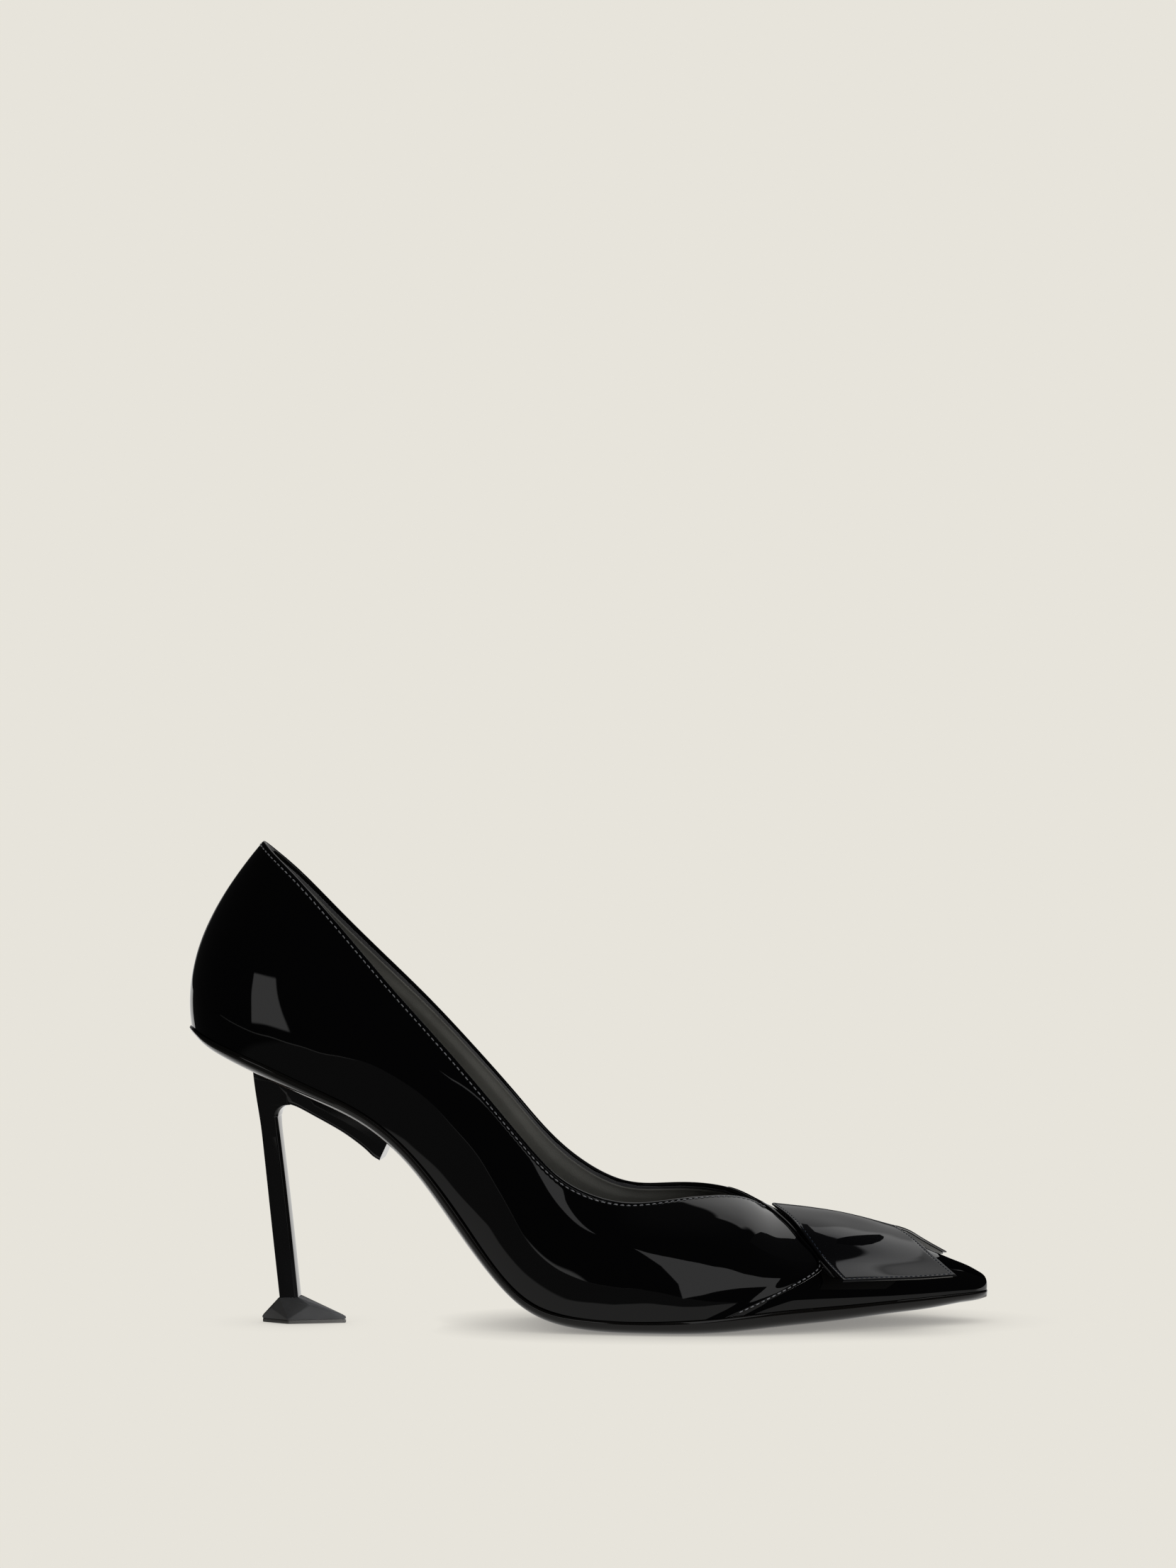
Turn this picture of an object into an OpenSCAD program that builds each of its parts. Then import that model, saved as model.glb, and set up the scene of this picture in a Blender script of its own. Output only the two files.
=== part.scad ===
// High heel pump, right shoe. Toe along +X, up +Z, lateral side at -Y.
// Millimetres. The sole touches the floor plane z = 0.

/* [Upper] */
// thickness of the patent outer leather
leather_t = 1.0; // [0.8:0.05:1.2]
// thickness of the stiffeners and the interlining
stiff_t = 0.7; // [0.4:0.05:0.9]
// thickness of the leather lining
lining_t = 0.7; // [0.5:0.05:1.0]
// width of the lasting margin turned in under the insole board
margin_w = 10; // [7:0.5:12]
// width of the topline tape
tape_w = 3; // [2:0.5:5]

/* [Bottom] */
// thickness of the insole board
board_t = 1.6; // [1.2:0.1:2.0]
// thickness of the foam layer under the sock
foam_t = 1.2; // [0.8:0.1:2.0]
// thickness of the leather sock
sock_t = 0.7; // [0.5:0.1:1.2]
// width of the steel shank
shank_w = 10; // [8:0.5:12]
// thickness of the steel shank
shank_t = 0.9; // [0.6:0.1:1.0]
// roundness of the outsole edge, how far the flat underside is set in
sole_inset = 6.5; // [4:0.5:8]

/* [Heel] */
// turn of the heel about the vertical, degrees
heel_turn = -6; // [-10:0.5:0]
// width of the heel column across the shoe
column_w = 8.3; // [7:0.1:10]
// width of the tongue under the waist
tongue_w = 15.2; // [12:0.2:16]
// bevel along the front edges of the casting
casting_bevel = 1.0; // [0.5:0.1:1.5]
// thickness of the top lift pad
pad_t = 1.1; // [0.8:0.1:1.5]

/* [Bow band] */
// thickness of each layer of the band
band_t = 0.6; // [0.5:0.05:0.7]

/* [Fasteners] */
// diameter of the heel screw shank
screw_d = 3.4; // [3:0.1:3.6]
// diameter of a heel nail
nail_d = 1.8; // [1.4:0.1:2.2]
// diameter of the dowel that holds the heel foot
dowel_d = 3.0; // [2.4:0.1:3.4]
// diameter of a shank rivet
rivet_d = 3.0; // [2.4:0.1:4]

/* [Placement] */
// shift that puts the middle of the width on y = 0
side_shift = 2.7; // [0:0.1:5]
// shift that puts the middle of the length on x = 0
length_shift = 0.2; // [0:0.1:2]

/* [Hidden] */
gap = 0.06;

// ---- control net ---------------------------------------------------------
// feather line (where the upper meets the sole), lateral and medial
FL = [[-117.6,0,88.2],[-114.5,-11.8,86.8],[-107,-19.8,83.6],[-95.5,-24.8,78.8],
  [-80,-26.8,71.7],[-64,-25.6,63],[-49,-24.2,48.8],[-35,-24.6,29.7],
  [-20,-28.4,11.2],[-3,-33.6,5.1],[18,-37.6,4.3],[38,-38,5.4],[57,-34.6,7.2],
  [74,-28.2,8],[89,-20.6,8.6],[101.5,-12.8,9],[111,-5.6,9.2],[116.8,-0.6,9.35],
  [118.7,3,9.4]];
FM = [[-117.6,0,88.2],[-114.5,11.8,86.8],[-107,19.2,83.6],[-95.5,22.6,78.8],
  [-81,22.3,72.2],[-65,18.6,63.7],[-50,14.8,50],[-36,12.8,31.2],
  [-21,14.2,12.2],[-3,19.5,5.1],[18,27,4.3],[38,32.4,5.4],[57,32.4,7.2],
  [74,28.8,8],[89,23.2,8.6],[101.5,17,9],[111,11,9.2],[116.8,6.2,9.35],
  [118.7,3,9.4]];
// topline, then the ridge of the toe
RIDGE = [[57,-1.5,32.8],[72,-0.4,30.6],[86,0.7,27.4],[98.5,1.6,22.8],
  [108,2.3,18.6],[113.7,2.7,16.2],[116.2,2.9,14.8]];
TL = concat([[-96,0,143.4],[-92.5,-8.5,139.9],[-85.5,-15,133.2],[-73,-19.8,119.4],
  [-59,-22.8,103],[-46,-24.8,88.5],[-32.5,-26.3,73],[-18.5,-28,56.4],
  [-5,-28.5,43.8],[10,-27.6,38.7],[27,-23.5,39.4],[46,-11.5,38.5]], RIDGE);
TM = concat([[-96,0,143.4],[-92.5,8.5,140.2],[-85.5,15,133.6],[-74,18.6,121.7],
  [-61,20.8,108.6],[-48,22.6,95.6],[-34.5,23.6,81],[-20.5,24.4,65],
  [-6,25,49.6],[10,24.3,40.4],[27,20,40],[45,9.3,38.3]], RIDGE);
// shape of the wall between the two lines: 0 = boot-like wall, 1 = dome
KK = [0,0,0,0,0,0,0,0,0,0.15,0.4,0.75,1,1,1,1,1,1,1];
A1L = [10.2,9,7,5.5,5,4.5,4.5,5,6,6,5,3,1.5,1,0.6,0.5,0.5,0.6,0.9];
A2L = [8.7,8.2,7.2,6,5,4,3.5,3.5,4,5,6,5,0,0,0,0,0,0,0];
A1M = [10.2,9,7,5.5,6,7.5,8.5,9,9,8,6,3.5,1.5,1,0.6,0.5,0.5,0.6,0.9];
A2M = [8.7,8.2,7.2,6,5,4.5,4,4,4.5,5,6,5,0,0,0,0,0,0,0];
NOSE = [0,0,0,0,0,0,0,0,0,0,0,0,0,0,0,0.2,0.7,1.4,2.4];
// thickness of the sole along the same stations
SOLE_T = [1.2,2.4,3.6,4,3.8,3.5,3.3,3.4,3,4,4.25,5.1,5.35,5.1,4.5,4.2,3.4,2.6,2.1];
// front boundary of the quarters, [height up the wall, station]
FRONT = [[0,12.8],[0.04,13.15],[0.09,13.5],[0.14,13.8],[0.2,14.1],[0.3,14.45],
  [0.4,14.45],[0.53,14.3],[0.65,14.1],[0.8,13.95],[1,13.74]];

// ---- curve and surface functions -----------------------------------------
function unit(v) = v / max(norm(v), 1e-9);
function ss(a, b, x) = let (t = max(0, min(1, (x - a) / (b - a)))) t * t * (3 - 2 * t);
function sumto(l, n) = n <= 0 ? 0 : l[n - 1] + sumto(l, n - 1);
NS = len(FL) - 1;
CH = [for (i = [0:NS - 1]) norm(FL[i + 1] - FL[i]) + norm(FM[i + 1] - FM[i])
  + 0.5 * norm(TL[i + 1] - TL[i]) + 0.5 * norm(TM[i + 1] - TM[i])];
U = [for (i = [0:NS]) sumto(CH, i) / sumto(CH, NS) * NS];

function fwd(u, P, i, c, d) = let (a = u[i + 1] - u[i], e = u[i] - u[i - 1],
  den = 2 * (a + e) - a * c)
  [e / den, (3 * (a / e * (P[i] - P[i - 1]) + e / a * (P[i + 1] - P[i])) - a * d) / den];
function slopes(u, P, m0, m1) = let (n = len(u),
  f = [for (i = 0, s = [0, m0]; i < n - 1; i = i + 1,
       s = i < n - 1 ? fwd(u, P, i, s[0], s[1]) : s) s],
  b = [for (i = n - 1, m = m1; i >= 0; i = i - 1,
       m = i >= 0 ? f[i][1] - f[i][0] * m : m) m])
  [for (i = [0:n - 1]) b[n - 1 - i]];
function seg(u, t) = let (n = len(u)) len([for (k = [1:n - 2]) if (u[k] <= t) 1]);
function hev(u, P, M, t) = let (i = seg(u, t), h = u[i + 1] - u[i], s = (t - u[i]) / h)
  (2 * s * s * s - 3 * s * s + 1) * P[i] + (s * s * s - 2 * s * s + s) * h * M[i]
  + (3 * s * s - 2 * s * s * s) * P[i + 1] + (s * s * s - s * s) * h * M[i + 1];
function free(u, P) = let (n = len(u)) slopes(u, P, (P[1] - P[0]) / (u[1] - u[0]),
  (P[n - 1] - P[n - 2]) / (u[n - 1] - u[n - 2]));

function out2(F, i, sg) = i == 0 ? [-1, 0, 0] : i == NS ? [1, 0, 0] :
  let (t = F[i + 1] - F[i - 1], n = norm([t[0], t[1]]))
  [-sg * t[1] / n, sg * t[0] / n, 0];
function han1(F, T, A, sg) = [for (i = [0:NS]) let (d = T[i] - F[i], k = KK[i])
  F[i] + [(0.34 - 0.09 * k) * d[0], 0.34 * (1 - k) * d[1], (0.34 + 0.24 * k) * d[2]]
  + A[i] * out2(F, i, sg)];
function han2(F, T, A, sg) = [for (i = [0:NS]) let (d = T[i] - F[i], k = KK[i],
  r = i < 12 ? [0, 0, 0] : unit(T[min(i + 1, NS)] - T[max(i - 1, 12)]))
  T[i] - [0.34 * (1 - k) * d[0], (0.34 + 0.22 * k) * d[1], 0.34 * (1 - k) * d[2]]
  + A[i] * out2(F, i, sg) + NOSE[i] * r];
H1L = han1(FL, TL, A1L, -1); H1M = han1(FM, TM, A1M, 1);
H2L = han2(FL, TL, A2L, -1); H2M = han2(FM, TM, A2M, 1);
function tr(P, Q, e) = [P, slopes(U, P, (P[1] - Q[1]) / (2 * U[1]),
  e ? (P[NS] - P[NS - 1]) / (U[NS] - U[NS - 1])
    : (Q[NS - 1] - P[NS - 1]) / (2 * (U[NS] - U[NS - 1])))];
TRK = [[tr(FL, FM, false), tr(H1L, H1M, false), tr(H2L, H2M, false), tr(TL, TM, true)],
       [tr(FM, FL, false), tr(H1M, H1L, false), tr(H2M, H2L, false), tr(TM, TL, true)]];
// point on the outside of the upper: q = 0 lateral, 1 medial
function rows(q, u) = [for (k = [0:3]) hev(U, TRK[q][k][0], TRK[q][k][1], u)];
function bez(r, v) = let (w = 1 - v) w * w * w * r[0] + 3 * v * w * w * r[1]
  + 3 * v * v * w * r[2] + v * v * v * r[3];
function bezd(r, v) = let (w = 1 - v) w * w * (r[1] - r[0]) + 2 * v * w * (r[2] - r[1])
  + v * v * (r[3] - r[2]);
function S(q, u, v) = bez(rows(q, u), v);
// point at depth d under that surface
function Q(q, u, v, d) = let (r = rows(q, u), a = rows(q, max(u - 0.05, 0)),
  b = rows(q, min(u + 0.05, NS)), n = unit(cross(bez(b, v) - bez(a, v), bezd(r, v))))
  bez(r, v) - (q == 0 ? d : -d) * n;
function front(v) = hev([for (p = FRONT) p[0]], [for (p = FRONT) p[1]],
  free([for (p = FRONT) p[0]], [for (p = FRONT) p[1]]), v);

// ---- bottom surface: height over x, offset h along its normal ------------
FX = [for (p = FL) p[0]]; FZ = [for (p = FL) p[2]];
FS = slopes(FX, FZ, -0.45, 0.03); TS = free(FX, SOLE_T);
function zb(x) = hev(FX, FZ, FS, x);
function dz(x) = (zb(x + 0.2) - zb(x - 0.2)) / 0.4;
function st(x) = hev(FX, SOLE_T, TS, x);
function B(p, h) = let (s = dz(p[0]), l = sqrt(1 + s * s))
  [p[0] - h * s / l, p[1], zb(p[0]) + h / l];
function feather(q, u) = S(q, u, 0);
function outw(q, u) = let (t = feather(q, min(u + 0.05, NS)) - feather(q, max(u - 0.05, 0)),
  s = q == 0 ? -1 : 1, n = max(norm([t[0], t[1]]), 1e-6)) [-s * t[1] / n, s * t[0] / n, 0];
// plan point set in by m from the feather line
function inset(q, u, m) = feather(q, u) - m * outw(q, u);
// margin point, heading for the middle of the shoe
function marg(q, u, m, h) = let (f = feather(q, u), o = feather(1 - q, u),
  g = [max(-100, min(104, (f[0] + o[0]) / 2)), (f[1] + o[1]) / 2, 0],
  e = unit([g[0] - f[0], g[1] - f[1], 0]), p = f + m * e, b = B(p, h))
  b + [0, 0, (f[2] - zb(f[0])) * max(0, 1 - m / 6)];

// ---- solids --------------------------------------------------------------
function triv(P, f) = P[f[0]] * cross(P[f[1]], P[f[2]]);
function total(l) = l * [for (a = l) 1];
// rings of points along an open path; strip caps pair both halves of the ring
module loft(R, fan = false) {
  n = len(R[0]); m = len(R);
  c0 = R[0] == undef ? [0,0,0] : [for (k = [0:2]) total([for (p = R[0]) p[k]]) / n];
  c1 = [for (k = [0:2]) total([for (p = R[m - 1]) p[k]]) / n];
  P = concat([for (r = R) for (p = r) p], fan ? [c0, c1] : []);
  side = [for (i = [0:m - 2]) for (j = [0:n - 1]) let (a = i * n + j,
    b = i * n + (j + 1) % n) for (f = [[a, b, b + n], [a, b + n, a + n]]) f];
  cap = fan ? [for (j = [0:n - 1]) for (f = [[m * n, (j + 1) % n, j],
        [m * n + 1, (m - 1) * n + j, (m - 1) * n + (j + 1) % n]]) f]
    : [for (j = [0:n / 2 - 2]) let (a = j, b = j + 1, c = n - 2 - j, d = n - 1 - j,
        o = (m - 1) * n) for (f = [[a, c, b], [a, d, c], [a + o, b + o, c + o],
        [a + o, c + o, d + o]]) f];
  F = concat(side, cap);
  v = total([for (f = F) triv(P, f)]);
  polyhedron(P, v > 0 ? [for (f = F) [f[0], f[2], f[1]]] : F, convexity = 8);
}
function rev(l) = [for (i = [len(l) - 1:-1:0]) l[i]];
function ring(a, b) = concat(a, rev(b));
function lin(a, b, n) = [for (i = [0:n]) a + (b - a) * i / n];
VS = [0, 0.04, 0.09, 0.15, 0.22, 0.3, 0.42, 0.56, 0.7, 0.84, 0.93, 1];

// height up the wall for a point on the inner face, clear of the turned-in margin
function lift(q, u, v, t) = let (a = 1.1 * t / max(norm(S(q, u, 1) - S(q, u, 0)), 3)) a + (1 - a) * v;
// one wall of outer leather with its turned-in margin, rear edge to front(v)
module quarter(q) {
  t = leather_t;
  loft([for (s = lin(0.0006, 1, 36)) ring(
    concat([marg(q, s * front(0), margin_w, 0), marg(q, s * front(0), margin_w / 2, 0)],
      [for (v = VS) S(q, s * front(v), v)]),
    concat([marg(q, s * front(0), margin_w, t), marg(q, s * front(0), margin_w / 2, t)],
      [marg(q, s * front(0), t, t)],
      [for (i = [1:len(VS) - 1]) Q(q, s * front(VS[i]), lift(q, s * front(0), VS[i], t), t)]))]);
}
module quarter_lateral() { color([0.03, 0.03, 0.035]) quarter(0); }
module quarter_medial() { color([0.03, 0.03, 0.035]) quarter(1); }

// the toe piece over the ridge, both lasting margins turned in
function vrow(q, s, d) = [for (i = [1:len(VS) - 1])
  let (u0 = front(VS[i]) + 0.04, u = u0 + s * (NS - 0.03 - u0))
  Q(q, u, d == 0 ? VS[i] : lift(q, vfoot(q, s), VS[i], d), d)];
function vfoot(q, s) = let (u0 = front(0) + 0.04) u0 + s * (NS - 0.03 - u0);
function vm(q, s) = let (f = feather(0, vfoot(q, s)), g = feather(1, vfoot(q, s)))
  min(margin_w, 0.42 * norm(f - g));
module vamp() {
  color([0.03, 0.03, 0.035])
  loft([for (s = lin(0, 1, 20)) let (t = min(leather_t, 0.25 + 1.6 * (1 - s) * 4))
    let (ul = vfoot(0, s), m = vm(0, s), e = min(t, m * 0.5)) ring(
      concat([marg(0, ul, m, 0), feather(0, ul)], vrow(0, s, 0),
        rev([for (i = [1:len(VS) - 2]) vrow(1, s, 0)[i - 1]]), [feather(1, ul), marg(1, ul, m, 0)]),
      concat([marg(0, ul, m, t), marg(0, ul, e, t)], vrow(0, s, t),
        rev([for (i = [1:len(VS) - 2]) vrow(1, s, t)[i - 1]]), [marg(1, ul, e, t), marg(1, ul, m, t)]))]);
}

// layers inside the upper
d1 = leather_t + gap;
d2 = d1 + stiff_t;
function dl(v) = d2 + gap - (stiff_t - 0.05) * ss(0.9, 0.99, v);
// front limit of the layers behind the quarters
function fr(v) = front(v) - 0.25;
module layer_u(a, b, vs, n) {   // from station a lateral round the back to b medial
  loft([for (s = lin(-1, 1, n)) let (q = s < 0 ? 0 : 1, k = abs(s) + 0.0001)
    ring([for (v = vs) Q(q, k * a, v, d1)], [for (v = vs) Q(q, k * b, v, d2)])]);
}
module heel_counter() {
  color([0.45, 0.4, 0.33])
  loft([for (s = lin(-1, 1, 32)) let (q = s < 0 ? 0 : 1, k = max(abs(s), 0.0005) * 4.4,
    top = 0.84 - 0.34 * ss(2, 4.4, k), vs = lin(0.07, top, 6))
    ring([for (v = vs) Q(q, k, v, d1)], [for (v = vs) Q(q, k, v, d2)])]);
}
module interlining(q) {
  vs = lin(0.06, 0.9, 7);
  color([0.6, 0.58, 0.52])
  loft([for (s = lin(0, 1, 24)) ring(
    [for (v = vs) Q(q, 4.55 + s * (fr(v) - 4.55), v, d1)],
    [for (v = vs) Q(q, 4.55 + s * (fr(v) - 4.55), v, d2)])]);
}
module interlining_lateral() { interlining(0); }
module interlining_medial() { interlining(1); }
module topline_tape() {
  color([0.2, 0.2, 0.22])
  loft([for (s = lin(-1, 1, 56)) let (q = s < 0 ? 0 : 1, k = max(abs(s), 0.0005) * 13.2,
    h = norm(S(q, k, 1) - S(q, k, 0)), a = 0.985 - 0.5 / h, b = a - min(tape_w / h, 0.09))
    ring([Q(q, k, b, d1), Q(q, k, a, d1)], [Q(q, k, b, d1 + 0.18), Q(q, k, a, d1 + 0.18)])]);
}
LV = [0.09, 0.2, 0.34, 0.5, 0.66, 0.8, 0.9, 0.96, 1];
function dt(v) = dl(v) + 0.25 * ss(0.8, 0.9, v);
module quarter_lining() {
  color([0.13, 0.13, 0.12])
  loft([for (s = lin(-1, 1, 60)) let (q = s < 0 ? 0 : 1, k = max(abs(s), 0.0005))
    ring([for (v = LV) Q(q, k * (front(v) - 0.3), v, dt(v))],
         [for (v = LV) Q(q, k * (front(v) - 0.3), v, dt(v) + lining_t)])]);
}
module over(a0, a1, vs, n, da, db) {   // a layer over the ridge of the toe
  r = [for (i = [len(vs) - 2:-1:0]) vs[i]];
  loft([for (s = lin(0, 1, n)) ring(
    concat([for (v = vs) Q(0, front(v) + a0 + s * (a1 - front(v) - a0), v, da)],
           [for (v = r) Q(1, front(v) + a0 + s * (a1 - front(v) - a0), v, da)]),
    concat([for (v = vs) Q(0, front(v) + a0 + s * (a1 - front(v) - a0), v, db)],
           [for (v = r) Q(1, front(v) + a0 + s * (a1 - front(v) - a0), v, db)]))]);
}
module vamp_lining() {
  color([0.13, 0.13, 0.12]) over(0.05, 16.2, [0.16, 0.3, 0.45, 0.6, 0.75, 0.88, 1], 12, d2 + gap, d2 + gap + lining_t);
}
module toe_puff() {
  vs = [0.14, 0.28, 0.42, 0.56, 0.7, 0.85, 1]; r = [0.85, 0.7, 0.56, 0.42, 0.28, 0.14];
  color([0.45, 0.4, 0.33])
  loft([for (u = lin(14.9, 16.9, 10)) ring(
    concat([for (v = vs) Q(0, u, v, d1)], [for (v = r) Q(1, u, v, d1)]),
    concat([for (v = vs) Q(0, u, v, d2 - 0.1)], [for (v = r) Q(1, u, v, d2 - 0.1)]))]);
}

// ---- bottom pieces -------------------------------------------------------
// a sheet between insets m over stations a..b, heights h0..h1 over the bottom
function across(u, m, h, n) = let (a = inset(0, u, m), b = inset(1, u, m))
  [for (i = [0:n]) B(a + (b - a) * i / n, h)];
module sheet(a, b, m, h0, h1, k) {
  loft([for (u = lin(a, b, k)) ring(across(u, m, h1, 4), across(u, m, h0, 4))]);
}
hb = leather_t + gap;
hf = hb + board_t + gap;
hk = hf + foam_t + gap;
module fastener_holes(c) {
  at_screw() cylinder(h = 60, d = screw_d + c, center = true, $fn = 24);
  at_nails() cylinder(h = 60, d = nail_d + c, center = true, $fn = 16);
}
module at_screw() { translate([-94.1, 0, 78]) children(); }
module at_nails() {
  for (x = [-85, -73]) for (y = [-3.2, 3.2])
    translate([x, y + (x + 93) * sin(heel_turn), zb(x)]) children();
}
module at_rivets() {
  for (x = [-62, -28]) translate([x, ymid(x), zb(x)]) rotate([0, -atan(dz(x)), 0]) children();
}
// middle of the sole across the shoe
YM = [[-118,0],[-90,-1.2],[-64,-3.4],[-49,-4.8],[-35,-5.9],[-20,-7.1],[0,-7],[20,-5.2],[60,-1],[118,3]];
function ymid(x) = hev([for (p = YM) p[0]], [for (p = YM) p[1]],
  free([for (p = YM) p[0]], [for (p = YM) p[1]]), x);
module insole_board() {
  color([0.62, 0.5, 0.36])
  difference() {
    sheet(0.55, 16.1, 2.9, hb, hb + board_t, 42);
    at_screw() cylinder(h = 60, d = screw_d + 0.3, center = true, $fn = 24);
    at_nails() cylinder(h = 60, d = nail_d + 0.3, center = true, $fn = 16);
    at_rivets() cylinder(h = 12, d = rivet_d + 0.2, center = true, $fn = 20);
  }
}
module sock_foam() { color([0.75, 0.7, 0.6]) sheet(0.7, 15.4, 4.2, hf, hf + foam_t, 40); }
module sock_lining() { color([0.14, 0.14, 0.13]) sheet(0.66, 15.6, 3.8, hk, hk + sock_t, 44); }
module bottom_filler() {
  color([0.55, 0.4, 0.25]) sheet(10.3, 14.3, margin_w + 0.6, 0, leather_t - 0.05, 10);
}
module steel_shank() {
  w = shank_w / 2;
  color([0.7, 0.7, 0.72])
  difference() {
    loft([for (x = lin(-99, -12, 22)) ring([B([x, ymid(x) - w, 0], shank_t), B([x, ymid(x) + w, 0], shank_t)],
      [B([x, ymid(x) - w, 0], 0), B([x, ymid(x) + w, 0], 0)])]);
    at_screw() cylinder(h = 60, d = screw_d + 0.3, center = true, $fn = 24);
    at_nails() cylinder(h = 60, d = nail_d + 0.3, center = true, $fn = 16);
    at_rivets() cylinder(h = 12, d = rivet_d + 0.2, center = true, $fn = 20);
  }
}
module shank_rivets() {
  color([0.75, 0.72, 0.6]) at_rivets() cylinder(h = hb + board_t - 0.05, d = rivet_d, $fn = 20);
}
// outsole section: flat top, rounded side, underside set in
SIDE = [[-0.4, 0.0], [-0.55, 0.3], [-0.2, 0.6], [0.25, 0.84], [0.62, 0.965], [1, 1]];
function sole_pt(q, u, k) = let (f = feather(0, u), g = feather(1, u),
  w = min(sole_inset, 0.42 * norm(g - f)), a = SIDE[k][0],
  p = inset(q, u, a < 0 ? a : a * w)) B(p, -0.1 - (st(p[0]) - 0.1) * SIDE[k][1]);
module outsole() {
  color([0.05, 0.05, 0.055])
  difference() {
    loft([for (u = concat([0.06, 0.2, 0.45], lin(0.75, 17.2, 44), [17.5, 17.75, 17.92]))
      let (a = feather(0, u), b = feather(1, u))
      concat([for (s = [0.25, 0.5, 0.75]) B(a + (b - a) * s, -0.1)],
        [for (k = [0:5]) sole_pt(1, u, k)], rev([for (k = [0:5]) sole_pt(0, u, k)]))], true);
    at_screw() cylinder(h = 60, d = screw_d + 0.3, center = true, $fn = 24);
    at_nails() cylinder(h = 60, d = nail_d + 0.3, center = true, $fn = 16);
  }
}

// ---- heel ----------------------------------------------------------------
// under-sole line that the casting is fitted to
function under(x) = let (s = dz(x), l = sqrt(1 + s * s), t = st(x)) [x + t * s / l, zb(x) - t / l - 0.12];
HX = -88.6;   // the heel turns about this vertical line
module heel_frame() { translate([HX, -0.5, 0]) rotate([0, 0, heel_turn]) translate([-HX, 0, 0]) children(); }
// lower contour of the tongue, [x, z]
TONGUE = [[-95,66.5],[-91.6,63.2],[-90.8,64.6],[-89.4,65.3],[-87.5,65.2],
  [-85.6,64.6],[-83,63.4],[-80.5,62.1],[-75.5,59.4],[-70.5,56.4],[-65.4,52.6],[-62.9,50.3],[-60.8,49]];
function cring(x0, x1, w, z, c) = [[x0, -w / 2, z], [x1 - c, -w / 2, z], [x1, -w / 2 + c, z],
  [x1, w / 2 - c, z], [x1 - c, w / 2, z], [x0, w / 2, z]];
module casting_body() {
  w = tongue_w / 2; c = casting_bevel;
  // tongue, bevelled along its lower edges, tip plane leaning forward
  loft([for (i = [0:len(TONGUE) - 1]) let (x = TONGUE[i][0], z = TONGUE[i][1],
      r = i == len(TONGUE) - 1 ? 6 : 0, b = w - (tongue_w - column_w) * 0.28 * (1 - ss(-92, -80, x)), u = z + c + 3)
    [[x + r, -w, z + 20], [x + r * 0.2, -w, u], [x, -b, z + c], [x, -b + c, z], [x, b - c, z], [x, b, z + c],
      [x + r * 0.2, w, u], [x + r, w, z + 20]]], true);
  // blade column, widening under the seat
  loft([cring(-91.1, -85.6, column_w, 7.8, 0.9), cring(-93.4, -87.8, column_w, 29, 0.9),
    cring(-96.05, -90.7, column_w, 54, 0.9), cring(-97.1, -91.6, 0.56 * column_w + 0.44 * tongue_w, 63.4, 0.9),
    cring(-98.2, -91.4, tongue_w, 73, 0.9), cring(-99, -91, tongue_w, 80, 0.9)], true);
}
module heel_casting() {
  xs = lin(-101, -46, 28);
  color([0.04, 0.04, 0.045])
  difference() {
    intersection() {
      heel_frame() casting_body();
      rotate([90, 0, 0]) linear_extrude(60, center = true)
        polygon(concat([for (x = xs) under(x)], [[-55, 5], [-101, 5]]));
      heel_frame() rotate([90, 0, 0]) linear_extrude(60, center = true)
        polygon([[-98.4, 75], [-98.4, 90], [-54.5, 90], [-54.5, 62], [-60.7, 48.6], [-70, 40], [-80, 7.8], [-91.2, 7.8], [-93.5, 29]]);
    }
    at_screw() translate([0, 0, -2]) cylinder(h = 50, d = screw_d + 0.2, center = true, $fn = 24);
    at_nails() cylinder(h = 15.6, d = nail_d + 0.2, center = true, $fn = 16);
    dowel_axis() translate([0, 0, 3]) cylinder(h = 16.5, d = dowel_d + 0.1, $fn = 20);
  }
}
module dowel_axis() { heel_frame() translate([-88.35, 0, 1.5]) rotate([0, -5.9, 0]) children(); }
// faceted foot: kite plan, ridges running up to the column
module foot_solid() {
  z0 = pad_t + gap;
  P = [[-96.9,0,z0],[-88.4,-5.3,z0],[-71.6,0,z0],[-88.4,5.3,z0],
       [-96.9,0,1.9],[-88.4,-5.3,1.5],[-71.8,0,2.1],[-88.4,5.3,1.5],
       [-93.8,-3.1,4.5],[-82.2,-3.9,5.5],[-82.2,3.9,5.5],[-93.8,3.1,4.5],
       [-91.3,-4.1,7.74],[-85.5,-3.4,7.74],[-85.5,3.4,7.74],[-91.3,4.1,7.74]];
  hull() polyhedron(P, [[0,1,2],[0,2,3],[12,13,14],[12,14,15],[4,5,8],[5,9,8],[5,6,9],[6,10,9],[6,7,10],[7,11,10],[7,4,11],
    [4,8,11],[8,12,11],[9,13,12],[9,14,13],[9,10,14],[10,15,14],[10,11,15],[11,12,15],[8,9,12],[0,4,5],[0,5,1],[1,5,6],[1,6,2],
    [2,6,7],[2,7,3],[3,7,4],[3,4,0]]);
}
module heel_foot() {
  color([0.22, 0.22, 0.23])
  difference() {
    heel_frame() foot_solid();
    dowel_axis() translate([0, 0, 0.4]) cylinder(h = 20, d = dowel_d + 0.1, $fn = 20);
  }
}
module top_lift_pad() {
  color([0.12, 0.12, 0.12]) heel_frame() linear_extrude(pad_t)
    polygon([[-96.9, 0], [-88.4, -5.3], [-71.5, 0], [-88.4, 5.3]]);
}
module lift_dowel() { color([0.75, 0.75, 0.77]) dowel_axis() translate([0, 0, 0.5]) cylinder(h = 18.6, d = dowel_d, $fn = 20); }
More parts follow.
